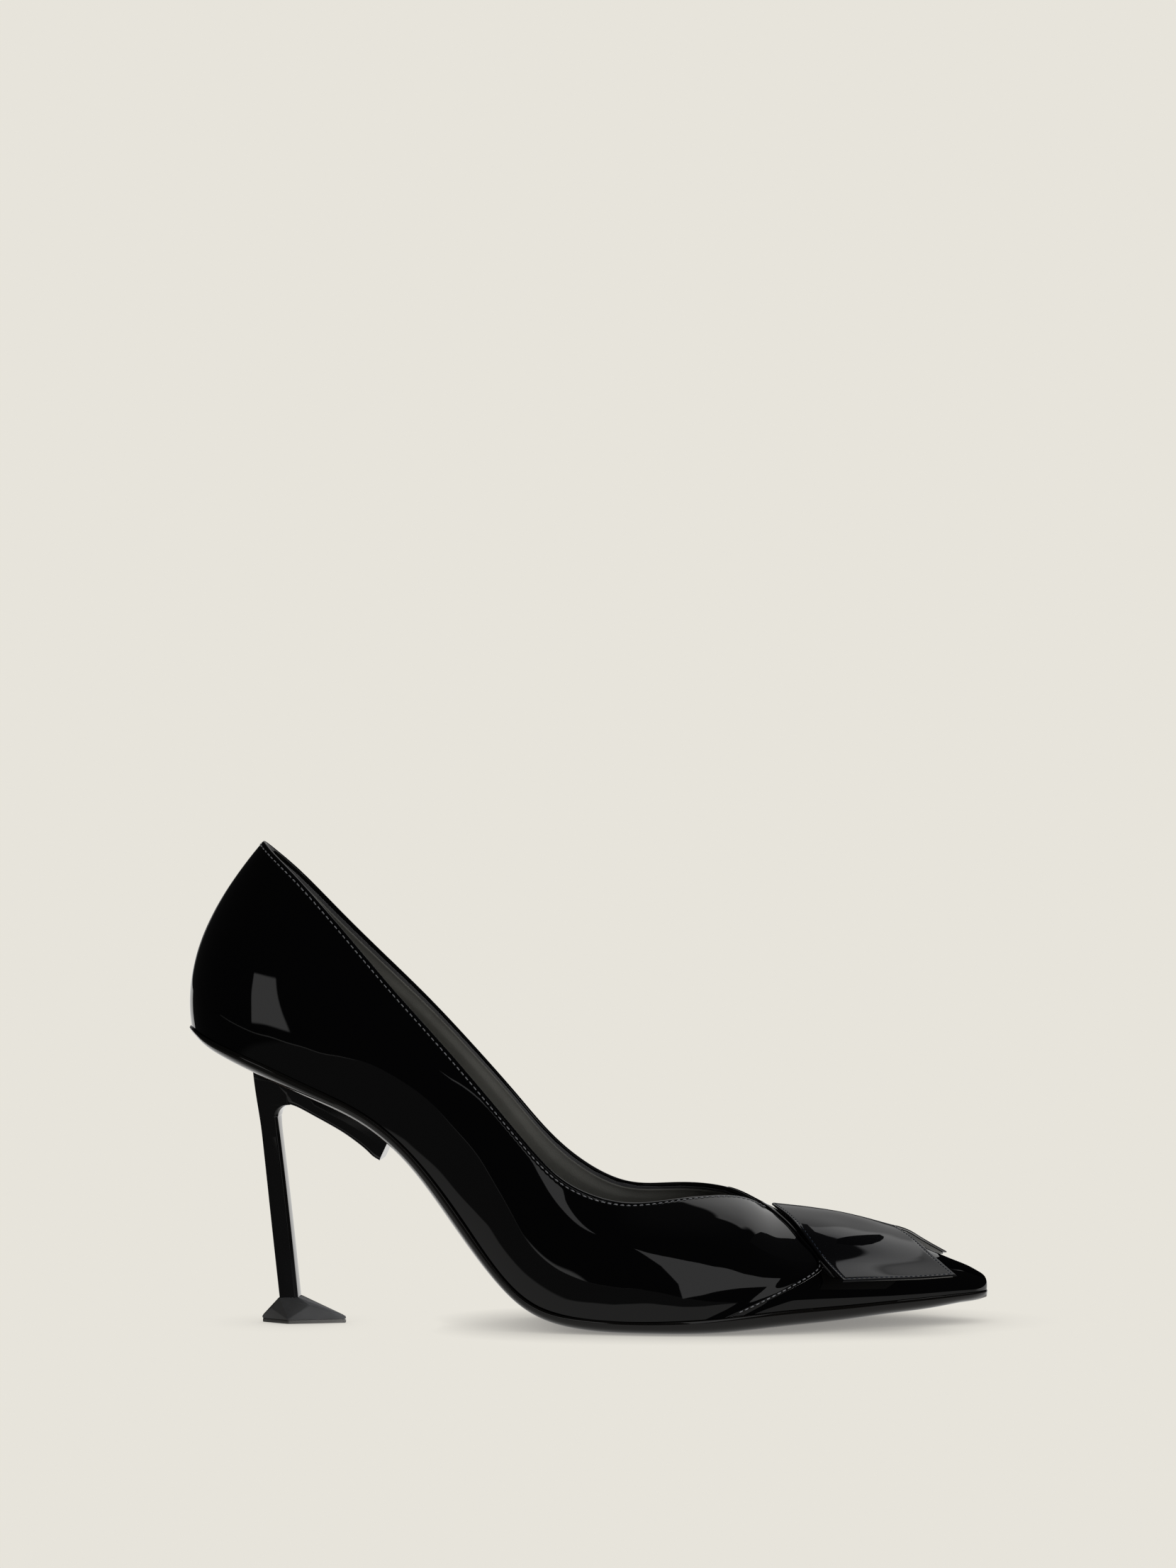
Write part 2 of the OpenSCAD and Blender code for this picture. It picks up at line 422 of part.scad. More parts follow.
module heel_screw() {
  color([0.7, 0.68, 0.6]) at_screw() {
    translate([0, 0, -22]) cylinder(h = 21, d = screw_d, $fn = 24);
    translate([0, 0, -1.1]) cylinder(h = 1.2, d = screw_d, $fn = 24);
  }
}
module heel_nails() { color([0.7, 0.7, 0.72]) at_nails() translate([0, 0, -7.5]) cylinder(h = 8.4, d = nail_d, $fn = 16); }

// ---- bow band ------------------------------------------------------------
// four control rows from rear edge to front edge, ridge to wing edge
BR = [[54.6,0,35.5],[58.2,-10.8,33.7],[63,-21.6,29.1],[68.4,-28.2,22.2],[74.5,-37.8,16.3]];
BA = [[66,0.2,34.3],[69.8,-10.4,32.1],[74.2,-20.6,27.9],[79.4,-27.6,21.8],[86,-37.4,16.8]];
BB = [[79.5,0.4,31.9],[83.2,-9.4,29.5],[87.6,-18.8,25.7],[92.2,-26.6,20.9],[97.4,-36,17.2]];
BF = [[91.6,0.6,28.6],[95.4,-8.2,26.9],[99.4,-16.4,24],[103.6,-24.6,20.8],[108,-32.6,17.6]];
BS = [0, 0.25, 0.5, 0.75, 1];
// mirrored for the far wing; rows blend along the band as a cubic spline
function brow(R, s) = let (a = abs(s), n = len(BS),
  P = [for (i = [0:n - 1]) [R[i][0], R[i][1] * (s < 0 ? 0.008 * i * i - 1 : 1),
    R[i][2] + (s < 0 ? 0.06 * i * (i - 2) + 0.03 * i : 0)]],
  M = slopes(BS, P, [0, (P[1] - P[0])[1] / 0.25, 0], (P[n - 1] - P[n - 2]) / 0.25)) hev(BS, P, M, a);
BU = [0, 0.333, 0.667, 1];
function band(s, t) = let (P = [brow(BR, s), brow(BA, s), brow(BB, s), brow(BF, s)]) hev(BU, P, free(BU, P), t);
function bandn(s, t) = let (a = band(max(s - 0.02, -1), t), b = band(min(s + 0.02, 1), t),
  c = band(s, max(t - 0.02, 0)), d = band(s, min(t + 0.02, 1))) unit(cross(d - c, a - b));
module band_layer(a, b) {
  loft([for (s = lin(-1, 1, 32)) ring([for (t = lin(0, 1, 8)) band(s, t) - a * bandn(s, t) * (bandn(s, t)[2] < 0 ? -1 : 1)],
    [for (t = lin(0, 1, 8)) band(s, t) - b * bandn(s, t) * (bandn(s, t)[2] < 0 ? -1 : 1)])]);
}
module bow_band_outer() { color([0.03, 0.03, 0.035]) band_layer(0, band_t); }
module bow_band_lining() { color([0.16, 0.16, 0.15]) band_layer(band_t + 0.04, 2 * band_t - 0.04); }

// edge strap of the throat: over the ridge, then down behind the band
STRAP = [[1,12.3,12.62,0.985],[1,12.75,13.1,0.99],[1,13.1,13.45,0.995],[0,13.2,13.6,0.985],
  [0,13.42,13.74,0.93],[0,13.64,13.9,0.84],[0,13.8,14.02,0.755],[0,13.97,14.17,0.64],
  [0,14.13,14.34,0.53],[0,14.32,14.5,0.41],[0,14.46,14.63,0.32],[0,14.64,14.8,0.22]];
module throat_strap() {
  color([0.03, 0.03, 0.035])
  loft([for (p = STRAP) let (m = (p[1] + p[2]) / 2)
    ring([Q(p[0], p[1], p[3], -0.75), Q(p[0], m, p[3], -0.9), Q(p[0], p[2], p[3], -0.75)],
    [Q(p[0], p[1], p[3], -0.08), Q(p[0], m, p[3], -0.08), Q(p[0], p[2], p[3], -0.08)])]);
}

module placed() { translate([length_shift, side_shift, 0]) children(); }
placed() vamp();
placed() quarter_lateral();
placed() quarter_medial();
placed() throat_strap();
placed() vamp_lining();
placed() quarter_lining();
placed() toe_puff();
placed() heel_counter();
placed() interlining_lateral();
placed() interlining_medial();
placed() topline_tape();
placed() bow_band_outer();
placed() bow_band_lining();
placed() insole_board();
placed() sock_foam();
placed() sock_lining();
placed() bottom_filler();
placed() steel_shank();
placed() shank_rivets();
placed() outsole();
placed() heel_casting();
placed() heel_foot();
placed() top_lift_pad();
placed() lift_dowel();
placed() heel_screw();
placed() heel_nails();
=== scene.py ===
import bpy, bmesh, math
import numpy as np
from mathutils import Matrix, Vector


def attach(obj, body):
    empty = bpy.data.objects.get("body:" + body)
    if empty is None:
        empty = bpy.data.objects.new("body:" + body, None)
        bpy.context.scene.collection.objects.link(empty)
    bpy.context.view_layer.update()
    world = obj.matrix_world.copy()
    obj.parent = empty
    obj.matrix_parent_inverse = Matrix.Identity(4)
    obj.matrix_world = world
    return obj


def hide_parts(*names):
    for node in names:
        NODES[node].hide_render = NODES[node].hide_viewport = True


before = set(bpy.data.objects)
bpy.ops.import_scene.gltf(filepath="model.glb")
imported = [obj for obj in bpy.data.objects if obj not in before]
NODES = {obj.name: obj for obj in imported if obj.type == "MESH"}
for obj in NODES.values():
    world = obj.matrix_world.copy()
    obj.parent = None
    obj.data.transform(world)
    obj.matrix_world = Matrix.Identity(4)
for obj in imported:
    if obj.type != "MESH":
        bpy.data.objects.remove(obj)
OFF = np.array([0.2, 2.7, 0.0])      # same placement as the CAD part, millimetres


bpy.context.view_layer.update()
scene = bpy.context.scene
A = np.array

# ---- control net (the same round numbers as the CAD part) ------------------
FL = A([[-117.6,0,88.2],[-114.5,-11.8,86.8],[-107,-19.8,83.6],[-95.5,-24.8,78.8],[-80,-26.8,71.7],[-64,-25.6,63],[-49,-24.2,48.8],[-35,-24.6,29.7],[-20,-28.4,11.2],[-3,-33.6,5.1],[18,-37.6,4.3],[38,-38,5.4],[57,-34.6,7.2],[74,-28.2,8],[89,-20.6,8.6],[101.5,-12.8,9],[111,-5.6,9.2],[116.8,-0.6,9.35],[118.7,3,9.4]], float)
FM = A([[-117.6,0,88.2],[-114.5,11.8,86.8],[-107,19.2,83.6],[-95.5,22.6,78.8],[-81,22.3,72.2],[-65,18.6,63.7],[-50,14.8,50],[-36,12.8,31.2],[-21,14.2,12.2],[-3,19.5,5.1],[18,27,4.3],[38,32.4,5.4],[57,32.4,7.2],[74,28.8,8],[89,23.2,8.6],[101.5,17,9],[111,11,9.2],[116.8,6.2,9.35],[118.7,3,9.4]], float)
RIDGE = [[57,-1.5,32.8],[72,-0.4,30.6],[86,0.7,27.4],[98.5,1.6,22.8],[108,2.3,18.6],[113.7,2.7,16.2],[116.2,2.9,14.8]]
TL = A([[-96,0,143.4],[-92.5,-8.5,139.9],[-85.5,-15,133.2],[-73,-19.8,119.4],[-59,-22.8,103],[-46,-24.8,88.5],[-32.5,-26.3,73],[-18.5,-28,56.4],[-5,-28.5,43.8],[10,-27.6,38.7],[27,-23.5,39.4],[46,-11.5,38.5]] + RIDGE, float)
TM = A([[-96,0,143.4],[-92.5,8.5,140.2],[-85.5,15,133.6],[-74,18.6,121.7],[-61,20.8,108.6],[-48,22.6,95.6],[-34.5,23.6,81],[-20.5,24.4,65],[-6,25,49.6],[10,24.3,40.4],[27,20,40],[45,9.3,38.3]] + RIDGE, float)
KK = A([0,0,0,0,0,0,0,0,0,0.15,0.4,0.75,1,1,1,1,1,1,1], float)
A1L = A([10.2,9,7,5.5,5,4.5,4.5,5,6,6,5,3,1.5,1,0.6,0.5,0.5,0.6,0.9])
A2L = A([8.7,8.2,7.2,6,5,4,3.5,3.5,4,5,6,5,0,0,0,0,0,0,0])
A1M = A([10.2,9,7,5.5,6,7.5,8.5,9,9,8,6,3.5,1.5,1,0.6,0.5,0.5,0.6,0.9])
A2M = A([8.7,8.2,7.2,6,5,4.5,4,4,4.5,5,6,5,0,0,0,0,0,0,0])
NOSE = A([0]*15 + [0.2,0.7,1.4,2.4])
SOLE_T = A([1.2,2.4,3.6,4,3.8,3.5,3.3,3.4,3,4,4.25,5.1,5.35,5.1,4.5,4.2,3.4,2.6,2.1])
FRONT = A([[0,12.8],[0.04,13.15],[0.09,13.5],[0.14,13.8],[0.2,14.1],[0.3,14.45],[0.4,14.45],[0.53,14.3],[0.65,14.1],[0.8,13.95],[1,13.74]])
NS = 18


def unit(a):
    return a / np.maximum(np.linalg.norm(a, axis=-1, keepdims=True), 1e-9)


def ss(a, b, x):
    t = np.clip((x - a) / (b - a), 0, 1)
    return t * t * (3 - 2 * t)


def slopes(u, P, m0, m1):
    n = len(u); M = np.zeros((n, n)); R = np.zeros((n,) + P.shape[1:])
    M[0, 0] = M[-1, -1] = 1; R[0] = m0; R[-1] = m1
    for i in range(1, n - 1):
        h0, h1 = u[i] - u[i - 1], u[i + 1] - u[i]
        M[i, i - 1], M[i, i], M[i, i + 1] = h1, 2 * (h0 + h1), h0
        R[i] = 3 * (h1 * (P[i] - P[i - 1]) / h0 + h0 * (P[i + 1] - P[i]) / h1)
    return np.linalg.solve(M, R.reshape(n, -1)).reshape(R.shape)


def free(u, P):
    return slopes(u, P, (P[1] - P[0]) / (u[1] - u[0]), (P[-1] - P[-2]) / (u[-1] - u[-2]))


def hev(u, P, M, t):
    t = np.asarray(t, float); sh = t.shape; t = t.ravel()
    i = np.clip(np.searchsorted(u, t, side="right") - 1, 0, len(u) - 2)
    h = u[i + 1] - u[i]; s = (t - u[i]) / h
    if P.ndim > 1:
        h, s = h[:, None], s[:, None]
    r = ((2*s**3 - 3*s*s + 1) * P[i] + (s**3 - 2*s*s + s) * h * M[i]
         + (3*s*s - 2*s**3) * P[i + 1] + (s**3 - s*s) * h * M[i + 1])
    return r.reshape(sh + P.shape[1:])


_d = lambda P: np.linalg.norm(np.diff(P, axis=0), axis=1)
U = np.concatenate([[0], np.cumsum(_d(FL) + _d(FM) + 0.5 * _d(TL) + 0.5 * _d(TM))])
U = U / U[-1] * NS


def out2(F, sg):
    o = np.zeros_like(F); o[0] = (-1, 0, 0); o[-1] = (1, 0, 0)
    t = F[2:, :2] - F[:-2, :2]; n = np.linalg.norm(t, axis=1)
    o[1:-1, 0] = -sg * t[:, 1] / n; o[1:-1, 1] = sg * t[:, 0] / n
    return o


def handles(F, T, A1, A2, sg):
    d = T - F; k = KK; o = out2(F, sg)
    H1 = F + np.stack([(0.34 - 0.09*k) * d[:, 0], 0.34*(1-k) * d[:, 1], (0.34 + 0.24*k) * d[:, 2]], 1) + A1[:, None] * o
    r = np.zeros_like(T)
    for i in range(12, NS + 1):
        r[i] = unit(T[min(i + 1, NS)] - T[max(i - 1, 12)])
    H2 = T - np.stack([0.34*(1-k) * d[:, 0], (0.34 + 0.22*k) * d[:, 1], 0.34*(1-k) * d[:, 2]], 1) + A2[:, None] * o + NOSE[:, None] * r
    return H1, H2


H1L, H2L = handles(FL, TL, A1L, A2L, -1)
H1M, H2M = handles(FM, TM, A1M, A2M, 1)


def track(P, Qo, end):
    m1 = (P[-1] - P[-2]) / (U[-1] - U[-2]) if end else (Qo[-2] - P[-2]) / (2 * (U[-1] - U[-2]))
    return P, slopes(U, P, (P[1] - Qo[1]) / (2 * U[1]), m1)


TRK = [[track(FL, FM, 0), track(H1L, H1M, 0), track(H2L, H2M, 0), track(TL, TM, 1)],
       [track(FM, FL, 0), track(H1M, H1L, 0), track(H2M, H2L, 0), track(TM, TL, 1)]]


def rows(q, u):
    return [hev(U, P, M, u) for P, M in TRK[q]]


def bez(r, v):
    v = np.asarray(v, float)[..., None]; w = 1 - v
    return w**3 * r[0] + 3*v*w*w * r[1] + 3*v*v*w * r[2] + v**3 * r[3]


def bezd(r, v):
    v = np.asarray(v, float)[..., None]; w = 1 - v
    return w*w * (r[1] - r[0]) + 2*v*w * (r[2] - r[1]) + v*v * (r[3] - r[2])


def S(q, u, v):
    u, v = np.broadcast_arrays(np.asarray(u, float), np.asarray(v, float))
    return bez(rows(q, u), v)


def frame_at(q, u, v, h=0.03):
    u, v = np.broadcast_arrays(np.asarray(u, float), np.asarray(v, float))
    r = rows(q, u); a = rows(q, np.clip(u - h, 0, NS)); b = rows(q, np.clip(u + h, 0, NS))
    n = unit(np.cross(bez(b, v) - bez(a, v), bezd(r, v)))
    return bez(r, v), (n if q == 0 else -n), unit(bezd(r, v)), unit(bez(b, v) - bez(a, v))


def Q(q, u, v, d):
    p, n, _, _ = frame_at(q, u, v)
    return p - np.asarray(d, float)[..., None] * n


_FM = free(FRONT[:, 0], FRONT[:, 1])


def front(v):
    return hev(FRONT[:, 0], FRONT[:, 1], _FM, v)


FX, FZ = FL[:, 0], FL[:, 2]
FS = slopes(FX, FZ, -0.45, 0.03); TS = free(FX, SOLE_T)
zb = lambda x: hev(FX, FZ, FS, np.clip(x, FX[0], FX[-1])) + np.where(x < FX[0], (x - FX[0]) * -0.45, 0) + np.where(x > FX[-1], (x - FX[-1]) * 0.03, 0)
dz = lambda x: (zb(x + 0.2) - zb(x - 0.2)) / 0.4
st = lambda x: hev(FX, SOLE_T, TS, x)


def B(p, h):
    s = dz(p[..., 0]); l = np.sqrt(1 + s * s)
    return np.stack([p[..., 0] - h * s / l, p[..., 1], zb(p[..., 0]) + h / l], -1)


def feather(q, u):
    return S(q, u, np.zeros_like(np.asarray(u, float)))


def outw(q, u):
    t = feather(q, np.minimum(u + 0.05, NS)) - feather(q, np.maximum(u - 0.05, 0))
    s = -1 if q == 0 else 1; n = np.maximum(np.linalg.norm(t[..., :2], axis=-1), 1e-6)
    return np.stack([-s * t[..., 1] / n, s * t[..., 0] / n, 0 * n], -1)


def inset(q, u, m):
    return feather(q, u) - np.asarray(m, float)[..., None] * outw(q, u)


def marg(q, u, m, h):
    f = feather(q, u); o = feather(1 - q, u)
    g = np.stack([np.clip((f[..., 0] + o[..., 0]) / 2, -100, 104), (f[..., 1] + o[..., 1]) / 2], -1)
    e = unit(g - f[..., :2]); m = np.asarray(m, float) + 0 * f[..., 0]
    p = f.copy(); p[..., :2] += m[..., None] * e
    b = B(p, h); b[..., 2] += (f[..., 2] - zb(f[..., 0])) * np.maximum(0, 1 - m / 6)
    return b


def wall(q, u):
    return np.maximum(np.linalg.norm(S(q, u, 1.0) - S(q, u, 0.0), axis=-1), 3)


# ---- mesh helpers ----------------------------------------------------------
MATS = {}
PIECES = []


def add_mesh(name, V, F, mats, stands, slot, idx=None, sharp=40, pad=None):
    me = bpy.data.meshes.new(name)
    V = (np.asarray(V, float) + OFF) * 0.001
    me.from_pydata(V.tolist(), [], F)
    me.validate(); me.update()
    ob = bpy.data.objects.new(name, me); scene.collection.objects.link(ob)
    mats = mats if isinstance(mats, list) else [mats]
    for m in mats:
        me.materials.append(MATS[m])
    if idx is not None:
        me.polygons.foreach_set("material_index", np.asarray(idx, np.int32))
    bm = bmesh.new(); bm.from_mesh(me)
    bmesh.ops.recalc_face_normals(bm, faces=bm.faces)
    bm.to_mesh(me); bm.free()
    me.polygons.foreach_set("use_smooth", np.ones(len(me.polygons), bool))
    if sharp:
        me.set_sharp_from_angle(angle=math.radians(sharp))
    me.update()
    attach(ob, "root")
    if stands:
        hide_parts(*([stands] if isinstance(stands, str) else stands))
    PIECES.append(ob)
    return ob


def loft_faces(m, n, base=0, caps="strip"):
    F = []; I = []
    j = np.arange(n); k = (j + 1) % n
    for i in range(m - 1):
        a = base + i * n
        F += np.stack([a + j, a + k, a + n + k, a + n + j], 1).tolist()
    I = [0] * len(F)
    if caps == "strip":
        for o, flip in ((base, 1), (base + (m - 1) * n, 0)):
            for t in range(n // 2 - 1):
                f = [o + t, o + t + 1, o + n - 2 - t, o + n - 1 - t]
                F.append(f[::-1] if flip else f); I.append(1)
    elif caps == "ngon":
        F.append([base + t for t in range(n)][::-1]); F.append([base + (m - 1) * n + t for t in range(n)]); I += [1, 1]
    return F, I


def loft(name, R, mats, stands, slot, caps="strip", capmat=0, **kw):
    R = np.asarray(R); m, n = R.shape[:2]
    F, I = loft_faces(m, n, 0, caps)
    return add_mesh(name, R.reshape(-1, 3), F, mats, stands, slot, idx=[capmat if i else 0 for i in I], **kw)


# ---- materials -------------------------------------------------------------
class Net:
    """Small helper for node graphs."""
    def __init__(s, tree):
        s.t = tree; s.n = tree.nodes; s.l = tree.links; s.n.clear()

    def node(s, kind, **kw):
        o = s.n.new(kind)
        for k, v in kw.items():
            setattr(o, k, v)
        return o

    def put(s, sock, v):
        if hasattr(v, "is_output"):
            s.l.new(v, sock)
        else:
            sock.default_value = v

    def m(s, op, a, b=0.0, c=None, clamp=False):
        o = s.node("ShaderNodeMath", operation=op, use_clamp=clamp)
        s.put(o.inputs[0], a); s.put(o.inputs[1], b)
        if c is not None:
            s.put(o.inputs[2], c)
        return o.outputs[0]

    def step(s, x, lo, hi):
        """smooth step of x from lo to hi, 0..1 (also falling, hi < lo)"""
        o = s.node("ShaderNodeMapRange", interpolation_type="SMOOTHSTEP", clamp=True)
        if lo < hi:
            s.put(o.inputs[0], x); o.inputs[1].default_value = lo; o.inputs[2].default_value = hi
            o.inputs[3].default_value = 0; o.inputs[4].default_value = 1
        else:
            s.put(o.inputs[0], x); o.inputs[1].default_value = hi; o.inputs[2].default_value = lo
            o.inputs[3].default_value = 1; o.inputs[4].default_value = 0
        return o.outputs[0]

    def noise(s, co, scale, detail=2, rough=0.5, kind="ShaderNodeTexNoise"):
        o = s.node(kind)
        s.put(o.inputs["Vector"], co); o.inputs["Scale"].default_value = scale
        if "Detail" in o.inputs:
            o.inputs["Detail"].default_value = detail
        if "Roughness" in o.inputs:
            o.inputs["Roughness"].default_value = rough
        return o.outputs[0]

    def mix(s, fac, a, b):
        o = s.node("ShaderNodeMix", data_type="RGBA")
        s.put(o.inputs[0], fac); s.put(o.inputs[6], a); s.put(o.inputs[7], b)
        return o.outputs[2]


def material(name, color, rough=0.5, metallic=0.0, ior=1.5, grain=None, bump=0.0, vary=0.0,
             coat=0.0, kind="noise", stretch=(1, 1, 1), rough_vary=0.0, spec=0.5, sheen=0.0, tint=None):
    mt = bpy.data.materials.new(name); mt.use_nodes = True
    N = Net(mt.node_tree)
    out = N.node("ShaderNodeOutputMaterial"); p = N.node("ShaderNodeBsdfPrincipled")
    N.l.new(p.outputs[0], out.inputs[0])
    c = tuple(color) + (1,)
    co = N.node("ShaderNodeTexCoord").outputs["Object"]
    if stretch != (1, 1, 1):
        mp = N.node("ShaderNodeMapping"); N.l.new(co, mp.inputs[0]); mp.inputs["Scale"].default_value = stretch; co = mp.outputs[0]
    p.inputs["Metallic"].default_value = metallic; p.inputs["IOR"].default_value = ior
    p.inputs["Specular IOR Level"].default_value = spec
    p.inputs["Coat Weight"].default_value = coat; p.inputs["Coat Roughness"].default_value = 0.03
    if tint:
        p.inputs["Specular Tint"].default_value = tuple(tint) + (1,)
    if sheen:
        p.inputs["Sheen Weight"].default_value = sheen
    if vary:
        nz = N.noise(co, 140, 3)
        lo = tuple(x * (1 - vary) for x in color) + (1,); hi = tuple(min(1, x * (1 + vary)) for x in color) + (1,)
        N.put(p.inputs["Base Color"], N.mix(nz, lo, hi))
    else:
        p.inputs["Base Color"].default_value = c
    if rough_vary:
        nz = N.noise(co, 60, 3)
        N.put(p.inputs["Roughness"], N.m("MULTIPLY_ADD", nz, rough_vary, rough - rough_vary / 2))
    else:
        p.inputs["Roughness"].default_value = rough
    if grain and bump:
        if kind == "voronoi":
            h = N.noise(co, grain, kind="ShaderNodeTexVoronoi")
        else:
            h = N.noise(co, grain, 4, 0.6)
        b = N.node("ShaderNodeBump"); b.inputs["Strength"].default_value = 1.0; b.inputs["Distance"].default_value = bump
        N.put(b.inputs["Height"], h); N.l.new(b.outputs[0], p.inputs["Normal"])
    MATS[name] = mt
    return mt


material("patent", (0.0007, 0.0007, 0.0009), rough=0.03, rough_vary=0.015, ior=1.5)
material("patent_band", (0.0016, 0.0016, 0.0020), rough=0.06, rough_vary=0.02, ior=1.5, tint=(0.955, 0.965, 1.0))
# near-white cut edge: the raw leather edge, made near white as a painted highlight
material("edge_painted_highlight", (0.86, 0.87, 0.9), rough=0.6)
material("lining", (0.105, 0.104, 0.094), rough=0.5, grain=2600, bump=0.00006, vary=0.18)
material("band_lining", (0.10, 0.10, 0.098), rough=0.7, grain=1800, bump=0.00008, vary=0.2)
material("sock", (0.10, 0.099, 0.09), rough=0.5, grain=2400, bump=0.00007, vary=0.15)
material("sole", (0.0035, 0.0032, 0.003), rough=0.07, rough_vary=0.03, ior=1.5)
material("sole_under", (0.03, 0.028, 0.027), rough=0.42, grain=900, bump=0.00006, vary=0.1)
material("sole_edge", (0.17, 0.10, 0.06), rough=0.5, spec=0.25)
material("heel_lacquer", (0.0025, 0.0025, 0.0028), rough=0.045, rough_vary=0.02, ior=1.5)
material("foot", (0.031, 0.0315, 0.033), rough=0.42, grain=5200, bump=0.00005, vary=0.35, metallic=0.2)
material("pad", (0.05, 0.049, 0.047), rough=0.6, grain=2500, bump=0.00005, vary=0.1)
material("thread", (0.012, 0.018, 0.032), rough=0.25, ior=1.5)
# lightened thread colour: painted glints, the bright dots that highlights make on the black stitches
material("thread_painted_glint", (0.16, 0.165, 0.18), rough=0.2, ior=1.8)
material("thread_dull", (0.012, 0.014, 0.02), rough=0.8)
material("stiffener", (0.42, 0.36, 0.28), rough=0.8, grain=1500, bump=0.0001, vary=0.15)
material("interlining", (0.55, 0.53, 0.47), rough=0.9, grain=2500, bump=0.00008, vary=0.08)
material("tape", (0.10, 0.10, 0.105), rough=0.7, grain=3000, bump=0.00005, vary=0.1)
material("board", (0.45, 0.33, 0.21), rough=0.8, grain=1200, bump=0.00008, vary=0.2)
material("foam", (0.62, 0.56, 0.44), rough=0.9, grain=1800, bump=0.00015, vary=0.1, kind="voronoi")
material("filler", (0.42, 0.28, 0.16), rough=0.95, grain=700, bump=0.0002, vary=0.35, kind="voronoi")
material("steel", (0.55, 0.56, 0.58), rough=0.3, metallic=1.0, rough_vary=0.1)
material("brass", (0.62, 0.5, 0.28), rough=0.3, metallic=1.0, rough_vary=0.1)

# ---- outer leather ---------------------------------------------------------
LEA = 1.0        # leather thickness
TOP_IN = 1.35    # stitch row below the topline
SEAM_IN = 1.25   # stitch row behind the front cut edge
PITCH = 1.9


def topgrid(q, n):
    """stations whose topline points are evenly spaced, with the arc length there"""
    uu = np.linspace(0.0006, 1, 4000); p = S(q, uu * front(1.0), 1.0)
    L = np.concatenate([[0], np.cumsum(np.linalg.norm(np.diff(p, axis=0), axis=1))])
    s = np.interp(np.linspace(0, L[-1], n), L, uu)
    return s, np.linspace(0, L[-1], n), L[-1]


def wavy(q, P):
    """slow unevenness of lasted leather, a few hundredths of a millimetre"""
    x, y, z = P[..., 0], P[..., 1], P[..., 2]
    return (0.008 * np.sin(x * 0.41 + z * 0.23 + q) + 0.010 * np.sin(x * 0.19 - z * 0.27 + 1.3 + y * 0.2)
            + 0.0025 * np.sin(x * 0.83 + z * 0.61 + 2.1))


